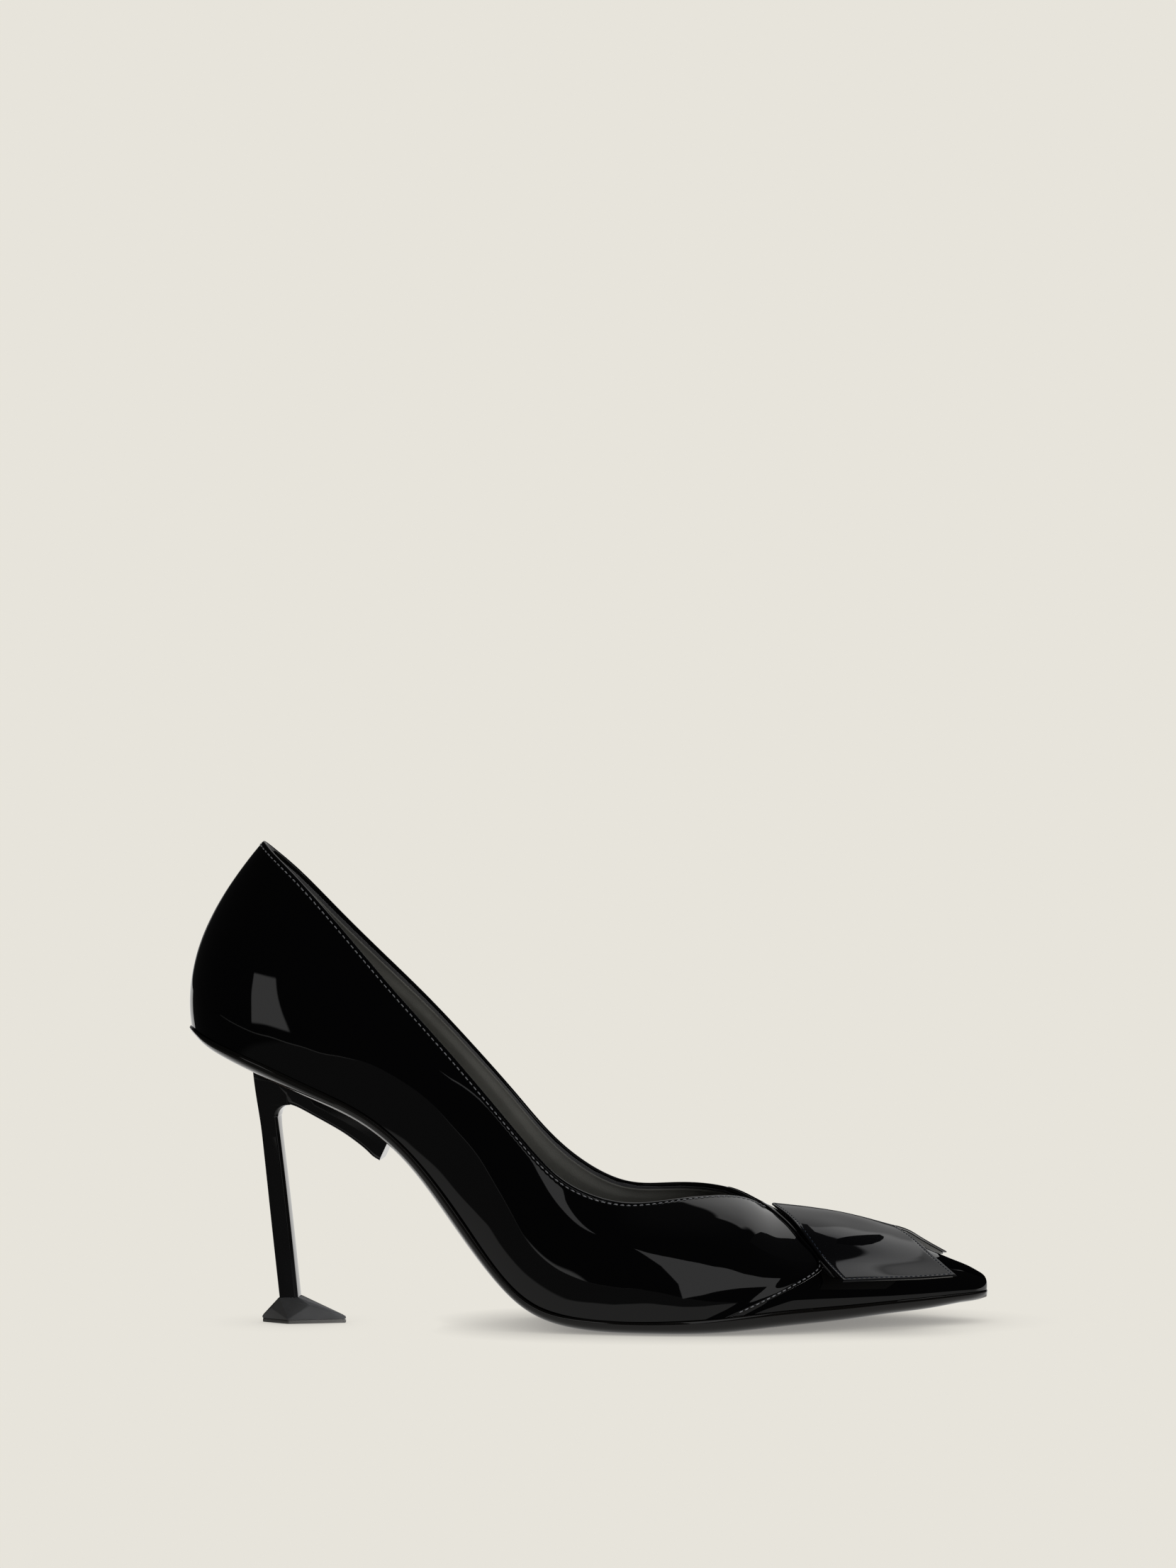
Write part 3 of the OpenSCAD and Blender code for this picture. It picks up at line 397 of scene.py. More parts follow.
def quarter(q, name):
    n = 860; s, arc, total = topgrid(q, n)
    h_t = wall(q, s * front(1.0))
    vs = np.concatenate([np.linspace(0, 0.9, 46)[:-1]])
    cols = []
    prof = []
    # outer face rows up to 4 mm below the topline, then rows in millimetres
    mm_top = A([4.0, 3.2, 2.6, 2.2, 1.9, 1.7, 1.55, 1.45, 1.35, 1.25, 1.15, 1.0, 0.85, 0.7, 0.55])
    hh = h_t[:, None]
    vtop = 1 - mm_top[None, :] / hh
    vlow = np.linspace(0, 1, 40)[None, :] ** 1.0 * (1 - 5.0 / hh)
    V = np.concatenate([vlow, vtop], 1)
    uq = s[:, None] * front(np.clip(V, 0, 1))
    p, nn, tv, tu = frame_at(q, uq, V)
    mm = (1 - V) * hh
    # groove and puckers along the topline stitches
    ph = np.cos(2 * np.pi * arc / PITCH)[:, None]
    g = 0.10 * np.exp(-((mm - TOP_IN) / 0.28) ** 2) * (1 + 0.55 * ph) - 0.05 * np.exp(-((mm - 0.75) / 0.3) ** 2)
    # raised front edge over the vamp, with its own stitch groove
    du = (1 - s)[:, None] * front(V)                     # stations from the edge
    back = du * np.linalg.norm(frame_at(q, np.clip(uq + 0.05, 0, NS), V)[0] - frame_at(q, np.clip(uq - 0.05, 0, NS), V)[0], axis=-1) / 0.1
    lift = 0.3 * (1 - ss(0.5, 9.0, back))
    g2 = 0.10 * np.exp(-((back - SEAM_IN) / 0.35) ** 2) * ss(0.0, 1.0, mm / 2)
    fade = ss(0, 6, mm) * ss(0, 5, V * hh)
    d = g + g2 - lift + wavy(q, p) * fade * 1.0
    outer = p - d[..., None] * nn
    # rolled top edge
    vt = 1 - 0.5 / h_t; ut = s * front(vt)
    pt, nt, tt, _ = frame_at(q, ut, vt)
    lt = lift[:, -1]
    arcs = []
    for a in np.radians([0, 25, 50, 75, 100, 130, 155, 180]):
        arcs.append(pt + tt * (0.5 * np.sin(a)) - nt * (0.5 * (1 - np.cos(a)) - lt)[..., None])
    arcs = np.stack(arcs, 1)
    vi = V[:, ::-1] * (1 - 2.5 / hh) + 1.3 / hh             # one inner row for every outer row
    thin = (1 - ss(1.5, 8.0, (1 - s) * 14 * 9.5))[:, None]          # the leather is pared down towards the seam
    inner = Q(q, s[:, None] * front(np.clip(vi, 0, 1)), vi, LEA + (0.2 - LEA) * thin)
    u0 = s * front(0.0)
    m0 = np.stack([marg(q, u0, 3.0, 0.02), marg(q, u0, 1.5, 0.02), marg(q, u0, 0.6, 0.02)], 1)
    m1 = np.stack([marg(q, u0, 1.1, LEA), marg(q, u0, 2.0, LEA), marg(q, u0, 3.0, LEA)], 1)
    R = np.concatenate([m0, outer, arcs, inner, m1], 1)
    R[0, :, 1] = 0.01 if q == 0 else -0.01                # the halves meet in the back seam without a slit
    # the cut front edge, slightly rounded
    c = R[-1]; k0 = m0.shape[1]; k1 = k0 + outer.shape[1] + arcs.shape[1]
    mid = c.copy()
    last = []
    tdir = unit(R[-1] - R[-4])
    nrm_o = np.zeros_like(c)
    nrm_o[k0:k0 + outer.shape[1]] = nn[-1]; nrm_o[k0 + outer.shape[1]:k1 - 4] = nt[-1]
    for a in (0.35, 0.75, 1.0):
        w = math.sin(a * math.pi / 2); z = 0.22 * (1 - math.cos(a * math.pi / 2))
        last.append(c + tdir * 0.22 * w - nrm_o * z)
    Rall = np.concatenate([R, np.stack(last)], 0)
    F, I = loft_faces(Rall.shape[0], Rall.shape[1], 0, "strip")
    n2 = Rall.shape[1]
    idx = [1 if i else 0 for i in I]
    # the rounded cut edge and the caps take the near-white edge colour, a painted highlight
    first = (Rall.shape[0] - 2) * n2
    for j in range(first, (Rall.shape[0] - 1) * n2):
        idx[j] = 1
    # only the front cap gets the near-white cut-edge colour, a painted highlight on the raw edge; the one in the back
    # seam stays black
    ncap = n2 // 2 - 1
    for j in range(len(idx) - 2 * ncap, len(idx) - ncap):
        idx[j] = 0
    add_mesh(name, Rall.reshape(-1, 3), F, ["patent", "edge_painted_highlight"], name.replace("_skin", ""), "patent", idx=idx, sharp=50)


quarter(0, "quarter_lateral_skin")
quarter(1, "quarter_medial_skin")


def seam_dip(u, v, h):
    """how far the vamp lies below the quarters' edge, from 0.62 down to 0"""
    mmf = (u - front(v)) * 9.5
    return 0.22 * (1 - ss(0.6, 5.0, mmf))


def vamp():
    vv = 1 - np.linspace(1, 0, 56) ** 1.25
    k = np.concatenate([np.linspace(0, 0.93, 150)[:-1], 0.93 + 0.07 * np.sin(np.linspace(0, 1, 34) * np.pi / 2)])
    side = []
    for q in (0, 1):
        u0 = front(vv) - 0.14
        u = u0[None, :] + k[:, None] * (NS - 0.004 - u0[None, :])
        V = np.broadcast_to(vv, u.shape)
        p, nn, _, _ = frame_at(q, u, V, 0.02)
        d = seam_dip(u, V, None) + wavy(q, p) * 0.6 * ss(NS, NS - 1.5, u) * ss(0, 0.2, V) * ss(0, 0.1, 1 - V)
        if q == 0:
            nr = nn[:, -1].copy()
        else:                                        # both sides share the ridge points
            nr = unit(nr + nn[:, -1])
        side.append((u, V, p, nn, d))
    L, M = side
    L[3][:, -1] = nr; M[3][:, -1] = nr
    rings = []
    for sgn, th in ((0, 0.0), (1, LEA)):
        a = L[2] - (L[4] + th)[..., None] * L[3]
        b = M[2] - (M[4] + th)[..., None] * M[3]
        rings.append((a, b))
    (oa, ob), (ia, ib) = rings
    uf = L[0][:, 0]; ug = M[0][:, 0]
    tip = np.clip((NS - uf) / 1.2, 0.02, 1)
    def mg(q, u, m, h):
        return marg(q, u, np.minimum(m, m * tip), h)
    out = np.concatenate([mg(0, uf, 4.0, 0.02)[:, None], mg(0, uf, 1.2, 0.02)[:, None], oa, ob[:, ::-1][:, 1:],
                          mg(1, ug, 1.2, 0.02)[:, None], mg(1, ug, 4.0, 0.02)[:, None]], 1)
    # underside in a few rows only, near the cut edge; it closes the shell
    keep = L[0][:, -1] < NS - 1.0
    pick = np.linspace(2, oa.shape[1] - 1, 16).astype(int)
    th = np.clip((NS - 0.3 - L[0][:, :1]) / 1.5, 0.12, 1)
    ia2 = L[2] - (L[4] + LEA * th)[..., None] * L[3]; ib2 = M[2] - (M[4] + LEA * th)[..., None] * M[3]
    inn = np.concatenate([mg(0, uf, 4.0, 0.9)[:, None], mg(0, uf, 1.6, 0.9)[:, None], ia2[:, pick], ib2[:, pick][:, ::-1][:, 1:],
                          mg(1, ug, 1.6, 0.9)[:, None], mg(1, ug, 4.0, 0.9)[:, None]], 1)
    R = np.concatenate([out, inn[:, ::-1]], 1)
    m, n = R.shape[:2]
    F, I = loft_faces(m, n, 0, "ngon")
    add_mesh("vamp_skin", R.reshape(-1, 3), F, ["patent"], "vamp", "patent", sharp=50)


vamp()

# ---- throat strap ----------------------------------------------------------
STRAP = A([[-0.06,12.1,12.42],[-0.015,12.3,12.62],[-0.01,12.75,13.1],[-0.005,13.1,13.45],[0.015,13.2,13.6],
  [0.07,13.42,13.74],[0.16,13.64,13.9],[0.245,13.8,14.02],[0.36,13.97,14.17],[0.47,14.13,14.34],
  [0.59,14.32,14.5],[0.68,14.46,14.63],[0.78,14.64,14.8]])


def throat_strap():
    r = STRAP[1:]
    k = np.linspace(0, 1, len(r)); t = np.linspace(0, 1, 190)
    w, ul, ur = [hev(k, r[:, i], free(k, r[:, i]), t) for i in range(3)]
    prof = [(-1, 0.0), (-1, -0.35), (-0.93, -0.62), (-0.75, -0.8), (-0.4, -0.9), (0, -0.93), (0.4, -0.9), (0.75, -0.8),
            (0.93, -0.62), (1, -0.35), (1, 0.0), (0.5, 0.02), (0, 0.02), (-0.5, 0.02)]
    R = np.zeros((len(t), len(prof), 3))
    for j, (a, d) in enumerate(prof):
        u = (ul + ur) / 2 + a * (ur - ul) / 2 * 1.04
        d = d * (0.3 + 0.7 * ss(0.02, 0.3, t)) if d < 0 else d + 0 * t          # flattened where it passes over the topline
        lat = S(0, u, 1 - np.maximum(w, 0)); pl, nl, _, _ = frame_at(0, u, 1 - np.maximum(w, 0))
        pm, nm, _, _ = frame_at(1, u, 1 + np.minimum(w, 0))
        f = ss(-0.012, 0.02, w)[:, None]
        P = np.where(w[:, None] >= 0, pl, pm); Nn = unit(nl * f + nm * (1 - f))
        R[:, j] = P - d[:, None] * Nn
    loft("throat_strap_skin", R, ["patent"], "throat_strap", "patent", caps="ngon", sharp=60)


throat_strap()

# ---- bow band --------------------------------------------------------------
BR = A([[54.6,0,35.5],[58.2,-10.8,33.7],[63,-21.6,29.1],[68.4,-28.2,22.2],[74.5,-37.8,16.3]])
BA = A([[66,0.2,34.3],[69.8,-10.4,32.1],[74.2,-20.6,27.9],[79.4,-27.6,21.8],[86,-37.4,16.8]])
BB = A([[79.5,0.4,31.9],[83.2,-9.4,29.5],[87.6,-18.8,25.7],[92.2,-26.6,20.9],[97.4,-36,17.2]])
BF = A([[91.6,0.6,28.6],[95.4,-8.2,26.9],[99.4,-16.4,24],[103.6,-24.6,20.8],[108,-32.6,17.6]])
BS = A([0, 0.25, 0.5, 0.75, 1.0]); BU = A([0, 0.333, 0.667, 1.0])


def brow(R, s):
    out = np.zeros(s.shape + (3,))
    for far in (False, True):
        i = np.arange(5.0); P = R.copy()
        P[:, 1] = R[:, 1] * ((0.008 * i * i - 1) if far else 1)
        P[:, 2] += (0.06 * i * (i - 2) + 0.03 * i) if far else 0
        M = slopes(BS, P, A([0, (P[1] - P[0])[1] / 0.25, 0]), (P[-1] - P[-2]) / 0.25)
        v = hev(BS, P, M, np.abs(s)); m = (s < 0) if far else (s >= 0)
        out[m] = v[m]
    return out


def band(s, t):
    s, t = np.broadcast_arrays(np.asarray(s, float), np.asarray(t, float))
    R = np.stack([brow(r, s.ravel()) for r in (BR, BA, BB, BF)])
    M = free(BU, R); tt = t.ravel(); k = np.arange(tt.size)
    i = np.clip(np.searchsorted(BU, tt, side="right") - 1, 0, 2); h = BU[i + 1] - BU[i]; x = (tt - BU[i]) / h
    x, h = x[:, None], h[:, None]
    P = ((2*x**3 - 3*x*x + 1) * R[i, k] + (x**3 - 2*x*x + x) * h * M[i, k]
         + (3*x*x - 2*x**3) * R[i + 1, k] + (x**3 - x*x) * h * M[i + 1, k])
    return P.reshape(s.shape + (3,))


def bandn(s, t):
    e = 0.008
    a = band(np.clip(s - e, -1, 1), t); b = band(np.clip(s + e, -1, 1), t)
    c = band(s, np.clip(t - e, 0, 1)); d = band(s, np.clip(t + e, 0, 1))
    n = unit(np.cross(d - c, a - b)); return n * np.where(n[..., 2:3] < 0, -1, 1)


BAND_T = 0.6


def band_skin(name, z0, z1, mat, stands, slot, grooves, r=0.42, ins=0.0):
    """one layer of the band from depth z0 to z1, with rounded borders"""
    e = ins + A([0, 0.02, 0.07, 0.15, 0.26, 0.42, 0.6, 0.75, 0.9, 1.05, 1.2, 1.4, 1.7, 2.2])   # millimetres from a border
    half = 43.0
    sa = 1 - e / half; mid = np.linspace(sa[-1], -sa[-1], 170)[1:-1]
    sv = np.concatenate([sa, mid, -sa[::-1]])
    wd = 33.0
    te = e / wd; tv = np.concatenate([te, np.linspace(te[-1], 1 - te[-1], 80)[1:-1], 1 - te[::-1]])
    Sg, Tg = np.meshgrid(sv, tv, indexing="ij")
    P = band(Sg, Tg); n = bandn(Sg, Tg)
    es = (1 - np.abs(Sg)) * half
    ez = np.minimum(Tg, 1 - Tg) * wd
    ed = np.minimum(es, ez) - ins
    roll = np.where(ed < r, r - np.sqrt(np.maximum(r * r - (r - ed) ** 2, 0)), 0)
    g = 0
    if grooves:
        inside = 1.05
        dd = np.minimum(np.where(np.abs(Sg) > 0, es, 99), ez)
        g = 0.06 * np.exp(-((dd - inside) / 0.3) ** 2) - 0.02 * np.exp(-((dd - 0.55) / 0.25) ** 2) * ss(0.1, 0.3, dd)
        # slow unevenness of the stuffed fold
        g = g + 0.02 * np.sin(P[..., 0] * 0.31 + P[..., 1] * 0.23) * ss(0, 4, dd) + 0.008 * np.sin(P[..., 0] * 0.57 - P[..., 1] * 0.41 + 1) * ss(0, 4, dd)
    top = P - (z0 + roll + g)[..., None] * n
    bot = P - (z1 - np.minimum(roll, max(z1 - z0 - r - 0.03, 0.03)))[..., None] * n
    m, k = Sg.shape
    V = np.concatenate([top.reshape(-1, 3), bot.reshape(-1, 3)])
    i, j = np.meshgrid(np.arange(m - 1), np.arange(k - 1), indexing="ij"); a = (i * k + j).ravel()
    o = m * k
    F = np.stack([a, a + 1, a + k + 1, a + k], 1).tolist() + np.stack([a + o, a + k + o, a + k + 1 + o, a + 1 + o], 1).tolist()
    brd = [(x, 0) for x in range(m)] + [(m - 1, y) for y in range(1, k)] + [(x, k - 1) for x in range(m - 2, -1, -1)] + [(0, y) for y in range(k - 2, 0, -1)]
    ids = [x * k + y for x, y in brd]
    for t in range(len(ids)):
        p, q2 = ids[t], ids[(t + 1) % len(ids)]
        F.append([p, q2, q2 + o, p + o])
    return add_mesh(name, V, F, [mat], stands, slot, sharp=60)


band_skin("bow_band_outer_skin", 0.0, BAND_T, "patent_band", "bow_band_outer", "patent", True)
band_skin("bow_band_lining_skin", BAND_T + 0.03, 2 * BAND_T - 0.04, "band_lining", "bow_band_lining", "lining", False, r=0.2, ins=0.8)

# ---- linings ---------------------------------------------------------------
D2 = LEA + 0.06 + 0.7


def dl(v):
    return D2 + 0.06 - 0.65 * ss(0.9, 0.99, v)


def dt(v):
    return dl(v) + 0.25 * ss(0.8, 0.9, v)


def quarter_lining():
    sv = np.concatenate([-np.linspace(1, 0.0005, 330), np.linspace(0.0005, 1, 330)])
    vv = np.concatenate([np.linspace(0.045, 0.9, 36), np.linspace(0.91, 0.992, 14)])
    out, inn, cap = [], [], []
    for q, part in ((0, sv[sv < 0]), (1, sv[sv > 0])):
        k = np.abs(part)
        u = k[:, None] * (front(vv)[None, :] - 0.3)
        V = np.broadcast_to(vv, u.shape) * (1 - 1.9 / wall(q, u[:, -1])[:, None])
        p, n, tv, _ = frame_at(q, u, V)
        a = p - dt(vv)[None, :, None] * n; b = p - (dt(vv) + 0.7)[None, :, None] * n
        pt, nt, tt = p[:, -1], n[:, -1], tv[:, -1]
        d0 = dt(vv[-1:])[0]; a[:, -1] = pt - d0 * nt; b[:, -1] = pt - (d0 + 0.7) * nt
        arc = np.stack([pt + tt * (0.35 * np.sin(x)) - nt * (d0 + 0.35 * (1 - np.cos(x))) for x in np.radians([30, 60, 90, 120, 150])], 1)
        out.append(np.concatenate([a, arc, b[:, ::-1]], 1))
    R = np.concatenate(out, 0)
    loft("quarter_lining_skin", R, ["lining"], "quarter_lining", "lining", caps="ngon", sharp=50)


quarter_lining()


def vamp_lining():
    vs = np.linspace(0.16, 1, 26)
    def half(q, d, s):
        a = front(vs)[None, :] + 0.05; u = a + s[:, None] * (16.2 - a)
        return Q(q, u, np.broadcast_to(vs, u.shape), d + 0 * u)
    s = np.linspace(0, 1, 44)
    o = np.concatenate([half(0, D2 + 0.06, s), half(1, D2 + 0.06, s)[:, ::-1][:, 1:]], 1)
    i = np.concatenate([half(0, D2 + 0.76, s), half(1, D2 + 0.76, s)[:, ::-1][:, 1:]], 1)
    loft("vamp_lining_skin", np.concatenate([o, i[:, ::-1]], 1), ["lining"], "vamp_lining", "lining", caps="ngon", sharp=50)


vamp_lining()

HK = 1.06 + 1.6 + 0.06 + 1.2 + 0.06


def sheet_skin(name, a, b, m, h0, h1, k, mat, stands, slot, pad=None, dome=0.0, across=26):
    uu = np.concatenate([a + (b - a) * 0.03 * np.linspace(0, 1, 8)[:-1] ** 1.5, np.linspace(a + (b - a) * 0.03, b - (b - a) * 0.02, k), b - (b - a) * 0.02 * np.linspace(1, 0, 7)[1:] ** 1.5])
    L, Rr = (inset(0, uu, m), inset(1, uu, m)) if m else [Q(q, uu, 4.4 / wall(q, uu), 2.62 + 0 * uu) for q in (0, 1)]
    f = 0.5 - 0.5 * np.cos(np.linspace(0, 1, across) * np.pi)
    P = L[:, None] + (Rr - L)[:, None] * f[None, :, None]
    wd = np.linalg.norm(Rr - L, axis=1)[:, None]; e = np.minimum(f, 1 - f)[None, :] * wd
    r = min(0.35, (h1 - h0) / 2.2)
    roll = np.where(e < r, r - np.sqrt(np.maximum(r * r - (r - e) ** 2, 0)), 0)
    top = B(P, h1 - roll + dome * (1 - (2 * f - 1) ** 2)[None, :] * 0)
    bot = B(P, h0 + roll)
    R = np.concatenate([top, bot[:, ::-1]], 1)
    return loft(name, R, [mat], stands, slot, caps="ngon", sharp=50, pad=pad)


sheet_skin("sock_lining_skin", 0.02, 15.6, 0, HK, HK + 0.7, 150, "sock", "sock_lining", "sock")
sheet_skin("sock_foam_skin", 0.7, 15.4, 4.2, HK - 1.26, HK - 0.06, 110, "foam", "sock_foam", "foam", pad=1.0)

# ---- outsole ---------------------------------------------------------------
SIDE = A([[-0.4, 0.0], [-0.6, 0.2], [-0.3, 0.46], [0.12, 0.71], [0.48, 0.91], [1, 1]])


def outsole():
    kk = np.arange(6.0); W = hev(kk, np.eye(6), free(kk, np.eye(6)), np.linspace(0, 5, 40))
    uu = np.concatenate([[0.05, 0.1, 0.2, 0.32, 0.45, 0.6], np.linspace(0.75, 17.2, 330), np.linspace(17.25, 17.985, 26)])
    def side(q):
        f, g = feather(0, uu), feather(1, uu); w = np.minimum(6.5, 0.42 * np.linalg.norm(g - f, axis=-1))
        a6 = np.where(SIDE[None, :, 0] < 0, SIDE[None, :, 0] * np.clip(w / 2.0, 0.3, 1)[:, None], SIDE[None, :, 0] * w[:, None])
        a = a6 @ W.T; d = W @ SIDE[:, 1]
        # the top corner is rounded into the groove above it
        a[:, 0] += 0.45; a[:, 1] += 0.12
        fe = feather(q, uu); ow = outw(q, uu)
        p = fe[:, None] - a[..., None] * ow[:, None]
        T = st(np.clip(p[..., 0], -117.6, 118.7))
        return B(p, -0.1 - (T - 0.1) * d[None, :])
    M, L = side(1), side(0)
    topc = []
    a, b = feather(0, uu), feather(1, uu)
    for s in (0.25, 0.5, 0.75):
        topc.append(B(a + (b - a) * s, -0.1 + 0 * uu))
    topc = np.stack(topc, 1)
    # flat underside between the two sides, dense enough to follow the arch
    f = np.linspace(0, 1, 12)[1:-1]
    pa, pb = M[:, -1], L[:, -1]
    und = pa[:, None] + (pb - pa)[:, None] * f[None, :, None]
    und[..., 2] = B(und, -st(np.clip(und[..., 0], -117.6, 118.7)))[..., 2]
    R = np.concatenate([topc, M, und, L[:, ::-1]], 1)
    m, n = R.shape[:2]
    F, I = loft_faces(m, n, 0, "ngon")
    na = 3; nm = M.shape[1]; nu = und.shape[1]
    idx = []
    j = np.arange(n)
    # side lacquer, then the plain underside starts where the side has turned under
    under_a, under_b = na + nm - 7, na + nm + nu + 6
    ring = np.where((j >= under_a) & (j < under_b), 1, 0)
    ring[[na + 33, na + 34, n - 34, n - 35]] = 2       # bare line along the lower edge
    ring[na + 35:n - 35] = 1
    for i in range(m - 1):
        idx += ring.tolist()
    idx += [0] * (len(F) - len(idx))
    R[..., 2] = np.maximum(R[..., 2], 0.0)
    add_mesh("outsole_skin", R.reshape(-1, 3), F, ["sole", "sole_under", "sole_edge"], "outsole", "sole", idx=idx, sharp=60)


outsole()

# ---- heel ------------------------------------------------------------------
HX = -88.6


def heel_frame(P):
    P = np.asarray(P, float).copy(); c, s = math.cos(math.radians(-6)), math.sin(math.radians(-6))
    x, y = P[..., 0] - HX, P[..., 1].copy()
    P[..., 0] = c * x - s * y + HX; P[..., 1] = s * x + c * y - 0.5
    return P


_ux = np.linspace(-104, -44, 400)
_s = dz(_ux); _l = np.sqrt(1 + _s * _s); _t = st(_ux)
UNX, UNZ = _ux + _t * _s / _l, zb(_ux) - _t / _l - 0.02
under_z = lambda x: np.interp(x, UNX, UNZ)


def rounded(poly, r, n=4):
    """closed polygon with every corner replaced by a small curve"""
    out = []
    P = [A(p, float) for p in poly]
    for i, p in enumerate(P):
        a, b = P[i - 1], P[(i + 1) % len(P)]
        la, lb = np.linalg.norm(a - p), np.linalg.norm(b - p)
        da = (a - p) / max(la, 1e-9) * min(r, 0.45 * la); db = (b - p) / max(lb, 1e-9) * min(r, 0.45 * lb)
        for k in range(n + 1):
            t = k / n
            out.append((1 - t) ** 2 * (p + da) + 2 * t * (1 - t) * p + t * t * (p + db))
    return A(out)


def cast_top(P, lean):
    """height at which a leaning wall line reaches the underside of the sole"""
    z = P[:, 2].copy()
    for _ in range(30):
        q = P.copy(); q[:, 0] = P[:, 0] + lean * (z - P[:, 2]); q = heel_frame(q)
        z = 0.5 * z + 0.5 * under_z(q[:, 0])
    q = P.copy(); q[:, 0] = P[:, 0] + lean * (z - P[:, 2]); q[:, 2] = z
    return q


def heel_casting():
    # blade column
    zk = A([7.8, 29, 54, 63.4, 73, 80]); x0k = A([-91.1, -93.4, -96.05, -97.1, -98.2, -99]); x1k = A([-85.6, -87.8, -90.7, -91.6, -91.4, -91])
    f0, f1 = free(zk, x0k), free(zk, x1k)
    def ring(z):
        x0, x1 = float(hev(zk, x0k, f0, A([z]))[0]), float(hev(zk, x1k, f1, A([z]))[0])
        if z > 61.4:                                  # round inner corner towards the tongue
            x1 = -87.6 - math.sqrt(max(3.75 ** 2 - (z - 61.4) ** 2, 0)) if z < 65.15 else -87.6
        w = 8.3 + (15.2 - 8.3) * float(ss(56, 72.5, A([z]))[0]); c = 0.9
        poly = [[x0, -w/2], [x1 - c, -w/2], [x1, -w/2 + c], [x1, w/2 - c], [x1 - c, w/2], [x0, w/2]]
        r = rounded(poly, 0.28)
        return np.concatenate([r, np.full((len(r), 1), z)], 1)
    zs = np.concatenate([np.linspace(7.8, 8.1, 4), np.linspace(8.1, 61.4, 80)[1:], 61.4 + 3.75 * np.sin(np.linspace(0, np.pi / 2, 26))[1:], np.linspace(65.3, 80, 22)])
    rings = []
    for z in zs:
        r = ring(z); q = heel_frame(r)
        lim = under_z(q[:, 0]); q[:, 2] = np.minimum(q[:, 2], lim)
        rings.append(q)
    R1 = A(rings)
    # tongue under the waist
    T = A([[-95,66.5],[-91.6,63.2],[-90.8,64.6],[-89.4,65.3],[-87.5,65.2],[-85.6,64.6],[-83,63.4],[-80.5,62.1],[-75.5,59.4],[-70.5,56.4],[-65.4,52.6],[-62.9,50.3],[-60.8,49]])
    kt = np.arange(len(T) - 4.0); FT = free(kt, T[4:])
    pts = hev(kt, T[4:], FT, np.linspace(0, len(T) - 5, 90))
    pre = A([[-95, 69.5], [-92, 68], [-90, 66.4], [-88.6, 65.4], [-88.1, 65.3]])
    pts = np.concatenate([pre, pts])
    w = 15.2 / 2; c = 1.0; R2 = []
    for x, z in pts:
        b = w - (15.2 - 8.3) * 0.28 * (1 - float(ss(-92, -80, A([x]))[0]))
        sec = rounded([[-w, z + 16], [-w, z + c + 3], [-b, z + c], [-b + c, z], [b - c, z], [b, z + c], [w, z + c + 3], [w, z + 16]], 0.3)
        P = np.concatenate([np.full((len(sec), 1), x), sec], 1)
        lean = 0.463 * float(ss(-74, -60.8, A([x]))[0])
        base = P.copy(); base[:, 2] = np.maximum(base[:, 2], z)
        base[:, 0] += lean * np.minimum(base[:, 2] - z, 30)
        q = heel_frame(base)
        lim = under_z(q[:, 0])
        # lines that pass the sole are cut back to it
        over = q[:, 2] > lim
        t = cast_top(np.concatenate([np.full((len(sec), 1), x), sec[:, :1], np.full((len(sec), 1), z)], 1), lean)
        tq = heel_frame(t)
        q[over] = tq[over]
        R2.append(q)
    R2 = A(R2)
    V, F = [], []
    for R in (R1, R2):
        f, _ = loft_faces(R.shape[0], R.shape[1], sum(len(v) for v in V), "ngon"); F += f; V.append(R.reshape(-1, 3))
    add_mesh("heel_casting_skin", np.concatenate(V), F, ["heel_lacquer"], "heel_casting", "heel_lacquer", sharp=35)


heel_casting()


def heel_foot():
    z0 = 1.12
    P = A([[-96.9,0,z0],[-88.4,-5.3,z0],[-71.6,0,z0],[-88.4,5.3,z0],[-96.9,0,1.9],[-88.4,-5.3,1.5],[-71.8,0,2.1],[-88.4,5.3,1.5],
       [-93.8,-3.1,4.5],[-82.2,-3.9,5.5],[-82.2,3.9,5.5],[-93.8,3.1,4.5],[-91.3,-4.1,7.78],[-85.5,-3.4,7.78],[-85.5,3.4,7.78],[-91.3,4.1,7.78]])
    P = heel_frame(P)
    bm = bmesh.new(); vs = [bm.verts.new(p) for p in P]
    r = bmesh.ops.convex_hull(bm, input=vs)
    bmesh.ops.delete(bm, geom=list({g for g in r["geom_interior"] + r["geom_unused"] if isinstance(g, bmesh.types.BMVert)}), context="VERTS")
    bmesh.ops.dissolve_limit(bm, angle_limit=math.radians(1.5), verts=bm.verts[:], edges=bm.edges[:])
    bmesh.ops.bevel(bm, geom=bm.edges[:] + bm.verts[:], offset=0.16, segments=3, profile=0.5, affect="EDGES", clamp_overlap=True)
    bm.verts.ensure_lookup_table()
    V = A([list(v.co) for v in bm.verts]); F = [[v.index for v in f.verts] for f in bm.faces]; bm.free()
    add_mesh("heel_foot_skin", V, F, ["foot"], "heel_foot", "foot_metal", sharp=25)


heel_foot()


def top_lift():
    poly = [[-96.9, 0], [-88.4, -5.3], [-71.5, 0], [-88.4, 5.3]]
    R = []
    for z, d in ((0.0, 0.16), (0.05, 0.07), (0.16, 0.0), (0.55, 0.0), (0.95, 0.0), (1.05, 0.06), (1.1, 0.14)):
        c = A([-87, 0.0]); p = A(poly, float); p = c + (p - c) * (1 - d / 6)
        r = rounded(p.tolist(), 0.5, 5); R.append(heel_frame(np.concatenate([r, np.full((len(r), 1), z)], 1)))
    loft("top_lift_pad_skin", A(R), ["pad"], "top_lift_pad", "pad_rubber", caps="ngon", sharp=50)


top_lift()

# ---- stitches --------------------------------------------------------------


